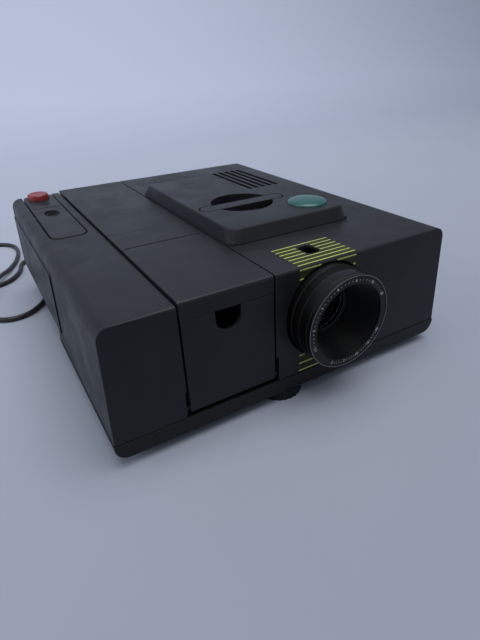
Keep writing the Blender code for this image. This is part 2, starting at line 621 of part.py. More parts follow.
FRONT_DOOR_THICK = 0.003
FRONT_HINGE_DROP = 0.0032
FRONT_HINGE_OVER_BAND = 0.0048
FRONT_HINGE_Z = BAND_TOP + FRONT_HINGE_OVER_BAND
FRONT_HINGE_Y = FRONT + front_lean(FRONT_HINGE_Z - BASE) + FRONT_HINGE_DROP
FRONT_PIN = 0.0015
DOOR_SLOT_TOP_OVER_BASE = 0.031
DOOR_SLOT_TOP = BASE + DOOR_SLOT_TOP_OVER_BASE
HINGE_SLOT = 0.0011
HINGE_SLOT_DEPTH = 0.006
LINTEL_HEIGHT = 0.0124
LINTEL_LOW = TOP - LINTEL_HEIGHT
THUMB_FROM_LEFT = 0.0847
THUMB_X = LEFT + THUMB_FROM_LEFT
THUMB_HALF = 0.0092
THUMB_DROP = 0.0155
DOOR_SIDE = 0.0003
CHANNEL_FRONT_FROM_FRONT = 0.009
CHANNEL_FRONT = FRONT + CHANNEL_FRONT_FROM_FRONT


def make_front_door():
    x0, x1 = CHANNEL_LEFT + DOOR_SIDE, CHANNEL_RIGHT - DOOR_SIDE
    high = LINTEL_LOW - DOOR_GAP
    lean = front_lean(high - FRONT_HINGE_Z)
    face = FRONT + front_lean(FRONT_HINGE_Z - BASE)
    plate = block(x0, x1, face, face + FRONT_DOOR_THICK, FRONT_HINGE_Z, high, front=lean, back=-lean)
    door = solid("front_door", plate, ANTHRACITE, ((x0 + x1) / 2, FRONT_HINGE_Y, FRONT_HINGE_Z))
    join(door, rod((0, FRONT_HINGE_Y, FRONT_HINGE_Z), "X", FRONT_HINGE_DROP, x0, x1, 24), "barrel")
    join(door, rod((0, FRONT_HINGE_Y, FRONT_HINGE_Z), "X", FRONT_PIN, x0 - GROOVE - WALL + SEAT,
                   x1 + GROOVE + WALL - SEAT, 16), "pins")
    flat = LINTEL_LOW - THUMB_DROP + THUMB_HALF
    outline = [(THUMB_X + THUMB_HALF * math.cos(math.radians(180 + 180 * i / 14)),
                flat + THUMB_HALF * math.sin(math.radians(180 + 180 * i / 14))) for i in range(15)]
    outline += [(THUMB_X + THUMB_HALF, high + OVERRUN), (THUMB_X - THUMB_HALF, high + OVERRUN)]
    cut(door, prism(outline, "Y", FRONT - OVERRUN, FRONT + HINGE_SLOT_DEPTH * 2), "thumb_notch")
    return door


# Lids over the channel and the bridge plate that carries both

BRIDGE_START_FROM_FRONT = 0.1042
BRIDGE_END_FROM_FRONT = 0.1362
BRIDGE_Y = (FRONT + BRIDGE_START_FROM_FRONT, FRONT + BRIDGE_END_FROM_FRONT)
LID_GAP = 0.0004
LID_BARREL = LID_THICK / 2
LID_PIN = 0.0008
LID_EAR = 0.0026
LID_EAR_REACH = 0.0034
# The lid's corners clear the bridge's ears at every angle
LID_CORNER = math.hypot(LID_EAR_REACH - LID_GAP - LID_BARREL, LID_BARREL) + SEAT
LID_HINGE_Z = TOP - LID_BARREL
FRONT_LID_HINGE_Y = BRIDGE_Y[0] - LID_GAP - LID_BARREL
BACK_LID_HINGE_Y = BRIDGE_Y[1] + LID_GAP + LID_BARREL


def lid_pins(lid, y):
    for side, edge in ((1, CHANNEL_LEFT), (-1, CHANNEL_RIGHT)):
        ends = sorted((edge + side * (LID_EAR + SEAT) / 2, edge + side * (LID_EAR + GROOVE * 2)))
        join(lid, rod((0, y, LID_HINGE_Z), "X", LID_PIN, *ends, 12), "pin")


def make_lids():
    inner = CHANNEL_LEFT + LID_EAR + SEAT, CHANNEL_RIGHT - LID_EAR - SEAT
    lean = front_lean(TOP - LINTEL_LOW)
    face = FRONT + front_lean(LINTEL_LOW - BASE)
    lid = block(CHANNEL_LEFT, CHANNEL_RIGHT, face, FRONT_LID_HINGE_Y, LINTEL_LOW, TOP, front=lean)
    round_off(lid, CRISP_EDGE, 2, lambda a, b: min(a.z, b.z) > TOP - TINY and max(a.y,
            b.y) < FRONT + CORNER * 2)
    lid = solid("front_lid", lid, ANTHRACITE, ((inner[0] + inner[1]) / 2, FRONT_LID_HINGE_Y, LID_HINGE_Z))
    under = block(CHANNEL_LEFT - OVERRUN, CHANNEL_RIGHT + OVERRUN, face + lean + FRONT_DOOR_THICK,
                  FRONT_LID_HINGE_Y + OVERRUN, LINTEL_LOW - OVERRUN, TOP - LID_THICK)
    cut(lid, under, "under_lid")
    finish_lid(lid, inner, FRONT_LID_HINGE_Y, -1)
    lid = block(CHANNEL_LEFT, CHANNEL_RIGHT, BACK_LID_HINGE_Y, BACK, TOP - LID_THICK, TOP)
    lid = solid("rear_lid", lid, ANTHRACITE, ((inner[0] + inner[1]) / 2, BACK_LID_HINGE_Y, LID_HINGE_Z))
    finish_lid(lid, inner, BACK_LID_HINGE_Y, 1)


def finish_lid(lid, inner, hinge_y, away):
    """Corners cut back round the bridge's ears, a round hinge edge and its two pins."""
    for x0, x1 in ((CHANNEL_LEFT - OVERRUN, inner[0]), (inner[1], CHANNEL_RIGHT + OVERRUN)):
        ends = sorted((hinge_y - away * OVERRUN, hinge_y + away * LID_CORNER))
        cut(lid, block(x0, x1, *ends, LINTEL_LOW, TOP + OVERRUN), "corner")
    join(lid, rod((0, hinge_y, LID_HINGE_Z), "X", LID_BARREL, *inner, 20), "barrel")
    lid_pins(lid, hinge_y)


def make_bridge():
    bridge = block(CHANNEL_LEFT, CHANNEL_RIGHT, *BRIDGE_Y, TOP - LID_THICK, TOP)
    bridge = solid("bridge_plate", bridge, ANTHRACITE)
    for x0, x1 in ((CHANNEL_LEFT, CHANNEL_LEFT + LID_EAR), (CHANNEL_RIGHT - LID_EAR, CHANNEL_RIGHT)):
        for edge, away in ((BRIDGE_Y[0], -1), (BRIDGE_Y[1], 1)):
            ends = sorted((edge - away * OVERRUN, edge + away * LID_EAR_REACH))
            join(bridge, block(x0, x1, *ends, TOP - LID_THICK, TOP), "ear")
        for hinge_y in (FRONT_LID_HINGE_Y, BACK_LID_HINGE_Y):
            cut(bridge, rod((0, hinge_y, LID_HINGE_Z), "X", LID_PIN + SEAT, x0 - OVERRUN, x1 + OVERRUN, 16),
                "pin_bore")
    return bridge


# Magazine channel: a black trough that a straight tray slides through

SHUTTLE_WINDOW_HALF = 0.0065
SHUTTLE_WINDOW_Y = (GATE_Y - SHUTTLE_WINDOW_HALF, GATE_Y + SHUTTLE_WINDOW_HALF)
SHUTTLE_WINDOW_LOW_FROM_AXIS = 0.0265
SHUTTLE_WINDOW_LOW = AXIS_Z - SHUTTLE_WINDOW_LOW_FROM_AXIS
RAIL_HEIGHT = 0.0012
RAIL_WIDTH = 0.003
RAIL_INSET = 0.010
LINER_FOOT = BASE_FLOOR + SEAT


def make_channel():
    outline = [(CHANNEL_LEFT, LINER_FOOT), (CHANNEL_LEFT + CHANNEL_WALL, LINER_FOOT),
               (CHANNEL_LEFT + CHANNEL_WALL, CHANNEL_FLOOR - CHANNEL_FLOOR_THICK),
               (CHANNEL_RIGHT - CHANNEL_WALL, CHANNEL_FLOOR - CHANNEL_FLOOR_THICK),
               (CHANNEL_RIGHT - CHANNEL_WALL, LINER_FOOT), (CHANNEL_RIGHT, LINER_FOOT),
               (CHANNEL_RIGHT, LINER_TOP),
               (CHANNEL_RIGHT - CHANNEL_WALL, LINER_TOP), (CHANNEL_RIGHT - CHANNEL_WALL, CHANNEL_FLOOR)]
    for x in (CHANNEL_RIGHT - RAIL_INSET, CHANNEL_LEFT + RAIL_INSET):
        outline += [(x + RAIL_WIDTH / 2, CHANNEL_FLOOR), (x + RAIL_WIDTH / 2, CHANNEL_FLOOR + RAIL_HEIGHT),
                    (x - RAIL_WIDTH / 2, CHANNEL_FLOOR + RAIL_HEIGHT), (x - RAIL_WIDTH / 2, CHANNEL_FLOOR)]
    outline += [(CHANNEL_LEFT + CHANNEL_WALL, CHANNEL_FLOOR), (CHANNEL_LEFT + CHANNEL_WALL, LINER_TOP),
                (CHANNEL_LEFT, LINER_TOP)]
    liner = solid("channel_liner", prism(outline, "Y", CHANNEL_FRONT, BACK - WALL - SEAT), BLACK)
    window = block(CHANNEL_RIGHT - CHANNEL_WALL - OVERRUN, CHANNEL_RIGHT + OVERRUN, *SHUTTLE_WINDOW_Y,
                   SHUTTLE_WINDOW_LOW, LINER_TOP + OVERRUN)
    cut(liner, window, "shuttle_window")
    slot = block(GEAR_X - GEAR_WIDTH / 2 - RUNNING, GEAR_X + GEAR_WIDTH / 2 + RUNNING, GEAR_Y - GEAR_TIP,
                 GEAR_Y + GEAR_TIP,
                 CHANNEL_FLOOR - CHANNEL_FLOOR_THICK - OVERRUN, CHANNEL_FLOOR + OVERRUN)
    cut(liner, slot, "gear_slot")
    return liner


# Right housing: lens opening, setting slot over the lens, opening under the lamp cover

LENS_RADIUS = 0.0345
LENS_HOLE = 0.0358
SLOT_START_FROM_LEFT = 0.1585
SLOT_END_FROM_LEFT = 0.1705
SLOT_X = (LEFT + SLOT_START_FROM_LEFT, LEFT + SLOT_END_FROM_LEFT)
SLOT_START_FROM_FRONT = 0.0195
SLOT_END_FROM_FRONT = 0.0340
SLOT_Y = (FRONT + SLOT_START_FROM_FRONT, FRONT + SLOT_END_FROM_FRONT)
SLOT_CORNER = 0.0035
HUMP_HEIGHT = 0.0111
HUMP_BASE_START_FROM_LEFT = 0.1206
HUMP_BASE_END_FROM_LEFT = 0.2345
HUMP_BASE_X = (LEFT + HUMP_BASE_START_FROM_LEFT, LEFT + HUMP_BASE_END_FROM_LEFT)
HUMP_BASE_START_FROM_FRONT = 0.0614
HUMP_BASE_END_FROM_FRONT = 0.2400
HUMP_BASE_Y = (FRONT + HUMP_BASE_START_FROM_FRONT, FRONT + HUMP_BASE_END_FROM_FRONT)
HUMP_TOP_START_FROM_LEFT = 0.1234
HUMP_TOP_END_FROM_LEFT = 0.2337
HUMP_TOP_X = (LEFT + HUMP_TOP_START_FROM_LEFT, LEFT + HUMP_TOP_END_FROM_LEFT)
HUMP_TOP_START_FROM_FRONT = 0.0662
HUMP_TOP_END_FROM_FRONT = 0.2365
HUMP_TOP_Y = (FRONT + HUMP_TOP_START_FROM_FRONT, FRONT + HUMP_TOP_END_FROM_FRONT)
HUMP_CORNER = 0.0080
HUMP_EDGE = 0.0010
HATCH_INSET = 0.0065
HATCH_X = (HUMP_BASE_X[0] + HATCH_INSET, HUMP_BASE_X[1] - HATCH_INSET)
HATCH_Y = (HUMP_BASE_Y[0] + HATCH_INSET, HUMP_BASE_Y[1] - HATCH_INSET)
HATCH_CORNER = 0.004
PANEL_THICK = 0.0025


def right_shell(inset, foot, back):
    low = foot - BASE
    rise = TOP - inset - foot
    return block(HOUSING_LEFT + inset, RIGHT - side_lean(low) - inset, FRONT + front_lean(low) + inset,
                 back, foot, foot + rise,
                 right=side_lean(rise), front=front_lean(rise))


def right_top(a, b, height):
    """Whether an edge is the one that runs from front to back at the top right."""
    return min(a.z, b.z) > height - TINY and abs(a.x - b.x) < TINY and a.x > 0


def make_right_housing():
    outer = right_shell(0.0, COVER_FOOT, BACK)
    round_off(outer, SOFT_EDGE, 6, lambda a, b: right_top(a, b, TOP))
    round_off(outer, CRISP_EDGE, 2, lambda a, b: min(a.z, b.z) > TOP - TINY and abs(a.y - b.y) < TINY
              and a.y < 0)
    housing = solid("right_housing", outer, ANTHRACITE)
    hollow = right_shell(WALL, COVER_FOOT - OVERRUN, BACK + OVERRUN)
    round_off(hollow, SOFT_EDGE - WALL, 4, lambda a, b: right_top(a, b, TOP - WALL))
    hollow = tool(hollow, "right_hollow")
    boss = block(HOUSING_LEFT, HOUSING_LEFT + WALL * 2, FRONT, FRONT + HINGE_SLOT_DEPTH * 2,
                 COVER_FOOT - OVERRUN,
                 DOOR_SLOT_TOP + WALL)
    cut(hollow, boss, "hinge_boss")
    cut(housing, hollow, "hollow")
    cut(housing, rod((AXIS_X, 0, AXIS_Z), "Y", LENS_HOLE, FRONT - OVERRUN, FRONT + FRONT_DRAFT + WALL * 2,
                     FINE_STEPS), "lens_hole")
    cut(housing, prism(rounded(*SLOT_X, *SLOT_Y, SLOT_CORNER), "Z", TOP - WALL * 2, TOP + OVERRUN),
        "setting_slot")
    cut(housing, prism(rounded(*HATCH_X, *HATCH_Y, HATCH_CORNER), "Z", TOP - WALL * 2, TOP + OVERRUN),
        "hatch")
    window = block(HOUSING_LEFT - OVERRUN, HOUSING_LEFT + WALL + OVERRUN, *SHUTTLE_WINDOW_Y,
                   SHUTTLE_WINDOW_LOW,
                   LINER_TOP)
    cut(housing, window, "shuttle_window")
    slot = block(HOUSING_LEFT - OVERRUN, HOUSING_LEFT + HINGE_SLOT * 1.7, FRONT - OVERRUN,
                 FRONT + HINGE_SLOT_DEPTH,
                 BAND_TOP, DOOR_SLOT_TOP)
    cut(housing, slot, "hinge_slot")
    cut(housing, rod((0, FRONT_HINGE_Y, FRONT_HINGE_Z), "X", FRONT_PIN + SEAT, HOUSING_LEFT - OVERRUN,
                     HOUSING_LEFT + WALL + SEAT, 20), "door_pin_bore")
    return housing


# Rear panel of the right housing, with its air grille and the two sockets

GRILLE_COUNT = 11
GRILLE_PITCH = 0.006
GRILLE_WIDTH = 0.003
GRILLE_LOW_OVER_BASE = 0.0430
GRILLE_LOW = BASE + GRILLE_LOW_OVER_BASE
GRILLE_HIGH_UNDER_TOP = 0.0170
GRILLE_HIGH = TOP - GRILLE_HIGH_UNDER_TOP
GRILLE_FROM_RIGHT = 0.0540
GRILLE_X = RIGHT - GRILLE_FROM_RIGHT
MAINS_FROM_LEFT = 0.1335
MAINS_X = LEFT + MAINS_FROM_LEFT
SOCKET_FROM_LEFT = 0.1580
SOCKET_X = LEFT + SOCKET_FROM_LEFT
SOCKET_OVER_BASE = 0.030
SOCKET_Z = BASE + SOCKET_OVER_BASE
MAINS_BORE = 0.0052
DIN_RADIUS = 0.0088
DIN_CUP = 0.0070
DIN_DEPTH = 0.008


def make_rear_panel():
    low = COVER_FOOT + SEAT
    inset = WALL + SEAT
    rise = TOP - inset - low
    panel = block(HOUSING_LEFT + inset, RIGHT - side_lean(low - BASE) - inset, BACK - PANEL_THICK, BACK,
                  low, low + rise,
                  right=side_lean(rise))
    round_off(panel, SOFT_EDGE - inset, 4, lambda a, b: right_top(a, b, TOP - inset))
    panel = solid("rear_panel", panel, BLACK)
    first = GRILLE_X - GRILLE_PITCH * (GRILLE_COUNT - 1) / 2
    for i in range(GRILLE_COUNT):
        x = first + GRILLE_PITCH * i
        slot = block(x - GRILLE_WIDTH / 2, x + GRILLE_WIDTH / 2, BACK - PANEL_THICK - OVERRUN,
                     BACK + OVERRUN,
                     GRILLE_LOW, GRILLE_HIGH)
        cut(panel, slot, "grille")
    for x, radius in ((MAINS_X, MAINS_BORE), (SOCKET_X, DIN_RADIUS)):
        cut(panel, rod((x, 0, SOCKET_Z), "Y", radius, BACK - PANEL_THICK - OVERRUN, BACK + OVERRUN, 20),
            "socket_hole")
    outer = DIN_RADIUS - SEAT
    floor = BACK - DIN_DEPTH
    profile = [(0, floor - WALL), (outer, floor - WALL), (outer, BACK), (DIN_CUP, BACK), (DIN_CUP, floor),
               (0, floor)]
    solid("remote_socket", turned(profile, (SOCKET_X, 0, SOCKET_Z), "Y", 20), BLACK)
    return panel


# Lamp cover: the tapered hump with its vents, finger well and grip bar

COVER_WALL = 0.0022
SKIRT_DEPTH = 0.005
SKIRT_GAP = 0.0005
WELL_FROM_LEFT = 0.1683
WELL_X = LEFT + WELL_FROM_LEFT
WELL_FROM_FRONT = 0.1245
WELL_Y = FRONT + WELL_FROM_FRONT
WELL_RADIUS = 0.0270
WELL_DEPTH = 0.0135
BAR_START_FROM_LEFT = 0.1280
BAR_END_FROM_LEFT = 0.2082
BAR_X = (LEFT + BAR_START_FROM_LEFT, LEFT + BAR_END_FROM_LEFT)
BAR_FROM_FRONT = 0.1228
BAR_Y = FRONT + BAR_FROM_FRONT
BAR_HALF = 0.0063
BAR_THICK = 0.0052
BAR_GAP = 0.0013
VENT_COUNT = 5
VENT_FIRST_FROM_LEFT = 0.1985
VENT_FIRST = LEFT + VENT_FIRST_FROM_LEFT
VENT_PITCH = 0.00725
VENT_WIDTH = 0.0041
VENT_START_FROM_FRONT = 0.1570
VENT_END_FROM_FRONT = 0.2345
VENT_Y = (FRONT + VENT_START_FROM_FRONT, FRONT + VENT_END_FROM_FRONT)
GREEN_FROM_LEFT = 0.2130
GREEN_X = LEFT + GREEN_FROM_LEFT
GREEN_FROM_FRONT = 0.0914
GREEN_Y = FRONT + GREEN_FROM_FRONT
GREEN_RADIUS = 0.0166
GREEN_RISE = 0.0034
GREEN_SKIRT = 0.0054
GREEN_TAB = 0.0012
HUMP_BASE = TOP + SEAT
HUMP_TOP = TOP + HUMP_HEIGHT


def hump_block(inset, low, high):
    """The hump's taper between two heights, drawn in on all sides."""
    def at(base, top, z):
        return base + (top - base) * (z - HUMP_BASE) / (HUMP_TOP - HUMP_BASE)
    x0, x1 = at(HUMP_BASE_X[0], HUMP_TOP_X[0], low) + inset, at(HUMP_BASE_X[1], HUMP_TOP_X[1], low) - inset
    y0, y1 = at(HUMP_BASE_Y[0], HUMP_TOP_Y[0], low) + inset, at(HUMP_BASE_Y[1], HUMP_TOP_Y[1], low) - inset
    return block(x0, x1, y0, y1, low, high, left=at(HUMP_BASE_X[0], HUMP_TOP_X[0], high) + inset - x0,
                 right=x1 - at(HUMP_BASE_X[1], HUMP_TOP_X[1], high) + inset,
                 front=at(HUMP_BASE_Y[0], HUMP_TOP_Y[0], high) + inset - y0,
                 back=y1 - at(HUMP_BASE_Y[1], HUMP_TOP_Y[1], high) + inset)


def make_lamp_cover():
    outer = hump_block(0.0, HUMP_BASE, HUMP_TOP)
    round_off(outer, HUMP_CORNER, 3, lambda a, b: abs(a.z - b.z) > HUMP_HEIGHT / 2)
    round_off(outer, HUMP_EDGE, 2, lambda a, b: min(a.z, b.z) > HUMP_TOP - TINY)
    cover = solid("lamp_cover", outer, ANTHRACITE, ((HUMP_BASE_X[0] + HUMP_BASE_X[1]) / 2, WELL_Y,
                                                    HUMP_BASE))
    hollow = hump_block(COVER_WALL, HUMP_BASE - OVERRUN, HUMP_TOP - COVER_WALL)
    round_off(hollow, HUMP_CORNER - COVER_WALL, 2, lambda a, b: abs(a.z - b.z) > HUMP_HEIGHT / 2)
    hollow = tool(hollow, "hump_hollow")
    pocket_low = HUMP_TOP - BAR_THICK - SEAT - COVER_WALL
    keep = prism(rounded(BAR_X[0] - BAR_GAP - COVER_WALL, BAR_X[1] + BAR_GAP + COVER_WALL,
                         BAR_Y - BAR_HALF - BAR_GAP - COVER_WALL,
                         BAR_Y + BAR_HALF + BAR_GAP + COVER_WALL, BAR_HALF + BAR_GAP + COVER_WALL - TINY),
                 "Z",
                 pocket_low, HUMP_TOP + OVERRUN)
    cut(hollow, keep, "bar_pocket")
    cut(cover, hollow, "hollow")
    frame = tool(hump_block(COVER_WALL / 2, HUMP_BASE, HUMP_BASE + COVER_WALL), "skirt_frame")
    skirt = prism(rounded(HATCH_X[0] + SKIRT_GAP, HATCH_X[1] - SKIRT_GAP, HATCH_Y[0] + SKIRT_GAP,
                          HATCH_Y[1] - SKIRT_GAP,
                          HATCH_CORNER - SKIRT_GAP), "Z", TOP - SKIRT_DEPTH, HUMP_BASE + COVER_WALL / 2)
    join(frame, skirt, "skirt")
    inside = HATCH_X[0] + SKIRT_GAP + COVER_WALL, HATCH_X[1] - SKIRT_GAP - COVER_WALL
    cut(frame, prism(rounded(*inside, HATCH_Y[0] + SKIRT_GAP + COVER_WALL,
                             HATCH_Y[1] - SKIRT_GAP - COVER_WALL,
                             HATCH_CORNER - SKIRT_GAP - COVER_WALL / 2), "Z", TOP - SKIRT_DEPTH - OVERRUN,
                     HUMP_TOP), "skirt_inside")
    join(cover, frame, "skirt")
    cup = rod((WELL_X, WELL_Y, 0), "Z", WELL_RADIUS + COVER_WALL, HUMP_TOP - WELL_DEPTH - COVER_WALL,
              HUMP_TOP - COVER_WALL / 2)
    join(cover, cup, "cup")
    cut(cover, rod((WELL_X, WELL_Y, 0), "Z", WELL_RADIUS, HUMP_TOP - WELL_DEPTH, HUMP_TOP + OVERRUN,
                   FINE_STEPS), "well")
    bed = prism(rounded(BAR_X[0] - BAR_GAP, BAR_X[1] + BAR_GAP, BAR_Y - BAR_HALF - BAR_GAP,
                        BAR_Y + BAR_HALF + BAR_GAP,
                        BAR_HALF + BAR_GAP - TINY), "Z", HUMP_TOP - BAR_THICK - SEAT, HUMP_TOP + OVERRUN)
    cut(cover, bed, "bar_bed")
    for i in range(VENT_COUNT):
        x = VENT_FIRST + VENT_PITCH * i
        cut(cover, block(x - VENT_WIDTH / 2, x + VENT_WIDTH / 2, *VENT_Y, HUMP_TOP - COVER_WALL * 2,
                         HUMP_TOP + OVERRUN), "vent")
    cut(cover, rod((GREEN_X, GREEN_Y, 0), "Z", GREEN_RADIUS + SEAT, HUMP_TOP - COVER_WALL * 2,
                   HUMP_TOP + OVERRUN, STEPS), "button_hole")
    bar = prism(rounded(*BAR_X, BAR_Y - BAR_HALF, BAR_Y + BAR_HALF, BAR_HALF - TINY), "Z",
                HUMP_TOP - BAR_THICK, HUMP_TOP)
    solid("grip_bar", bar, ANTHRACITE)
    low = HUMP_TOP - GREEN_SKIRT
    flange = HUMP_TOP - COVER_WALL - SEAT
    dome = [(GREEN_RADIUS * math.cos(math.radians(a)),
             HUMP_TOP + SEAT + GREEN_RISE * math.sin(math.radians(a)))
            for a in (0, 18, 36, 54, 72)]
    green = turned([(0, low), (GREEN_RADIUS, low), *dome, (0, HUMP_TOP + SEAT + GREEN_RISE)],
                   (GREEN_X, GREEN_Y, 0), "Z", STEPS)
    green = solid("green_button", green, GREEN, (GREEN_X, GREEN_Y, HUMP_TOP))
    half = GREEN_RADIUS * 0.2
    join(green, block(GREEN_X - half, GREEN_X + half, GREEN_Y - GREEN_RADIUS - GREEN_TAB,
                      GREEN_Y + GREEN_RADIUS + GREEN_TAB,
                      low, flange), "snap_tabs")
    return cover


# Lens, its focusing carriage and drive

FUNNEL_MOUTH = 0.0282
BARREL_BACK_FROM_FRONT = 0.016
BARREL_BACK = FRONT + BARREL_BACK_FROM_FRONT
LENS_TUBE = 0.0222
LENS_BORE = 0.0195
LENS_BACK_FROM_FRONT = 0.072
LENS_BACK = FRONT + LENS_BACK_FROM_FRONT
RING_DEPTH = 0.0012
RING_INNER = 0.0284
RING_OUTER = 0.0335
FUNNEL_STEPS = 3
FUNNEL_LENGTH = 0.024
GLASS_FRONT_FROM_FRONT = 0.006
GLASS_FRONT_Y = FRONT + GLASS_FRONT_FROM_FRONT
GLASS_BACK_FROM_FRONT = 0.070
GLASS_BACK_Y = FRONT + GLASS_BACK_FROM_FRONT
GLASS_THICK = 0.006
CARRIAGE_START_FROM_FRONT = 0.024
CARRIAGE_END_FROM_FRONT = 0.064
CARRIAGE_Y = (FRONT + CARRIAGE_START_FROM_FRONT, FRONT + CARRIAGE_END_FROM_FRONT)
CARRIAGE_RADIUS = 0.0255
LUG_FRONT_FROM_FRONT = 0.035
LUG_FRONT = FRONT + LUG_FRONT_FROM_FRONT
GUIDE_REACH = 0.0225
GUIDE_RADIUS = 0.002
GUIDE_FROM_AXIS = 0.020
GUIDE_Z = AXIS_Z - GUIDE_FROM_AXIS
RACK_TOOTH = 0.0011
PINION_TEETH = 10
PINION_PITCH = 0.005
PINION_DEPTH = 0.0009
PINION_ROOT_SHARE = 0.50
PINION_TIP_SHARE = 0.24
RACK_HALF = 0.004
RACK_Z = (AXIS_Z - RACK_HALF, AXIS_Z + RACK_HALF)


def make_lens():
    mouth = FRONT - LENS_REACH
    start = mouth + RING_DEPTH
    profile = [(FUNNEL_MOUTH, start), (RING_OUTER + SEAT, start), (RING_OUTER + SEAT, mouth),
               (LENS_RADIUS, mouth),
               (LENS_RADIUS, BARREL_BACK), (LENS_TUBE, BARREL_BACK), (LENS_TUBE, LENS_BACK),
               (LENS_BORE, LENS_BACK),
               (LENS_BORE, start + FUNNEL_LENGTH)]
    for i in range(1, FUNNEL_STEPS + 1):
        radius = LENS_BORE + (FUNNEL_MOUTH - LENS_BORE) * i / FUNNEL_STEPS
        profile.append((radius, start + FUNNEL_LENGTH * (1 - (i - 1) / FUNNEL_STEPS)))
        if i < FUNNEL_STEPS:
            profile.append((radius, start + FUNNEL_LENGTH * (1 - i / FUNNEL_STEPS)))
    barrel = turned(profile, (AXIS_X, 0, AXIS_Z), "Y", FINE_STEPS)
    solid("lens_barrel", barrel, LENS_BLACK, (AXIS_X, mouth, AXIS_Z))
    ring = turned([(RING_INNER, mouth), (RING_OUTER, mouth), (RING_OUTER, mouth + RING_DEPTH - SEAT),
                   (RING_INNER, mouth + RING_DEPTH - SEAT)], (AXIS_X, 0, AXIS_Z), "Y", FINE_STEPS)
    solid("lens_front_ring", ring, LENS_BLACK)
    for name, y, bulge in (("front_glass", GLASS_FRONT_Y, -1), ("rear_glass", GLASS_BACK_Y - GLASS_THICK,
                                                                1)):
        lens_glass(name, y, LENS_BORE - SEAT, GLASS_THICK, bulge)


def lens_glass(name, y, radius, thick, bulge):
    """A plano-convex glass whose crown faces the way of the bulge."""
    edge = thick * 0.45
    flat, rim = (y + thick, y + thick - edge) if bulge < 0 else (y, y + edge)
    crown = y if bulge < 0 else y + thick
    profile = [(0, flat), (radius, flat), (radius, rim)]
    for share in (0.72, 0.4):
        profile.append((radius * share, crown + (rim - crown) * share * share))
    profile.append((0, crown))
    return solid(name, turned(profile, (AXIS_X, 0, AXIS_Z), "Y", STEPS), GLASS)


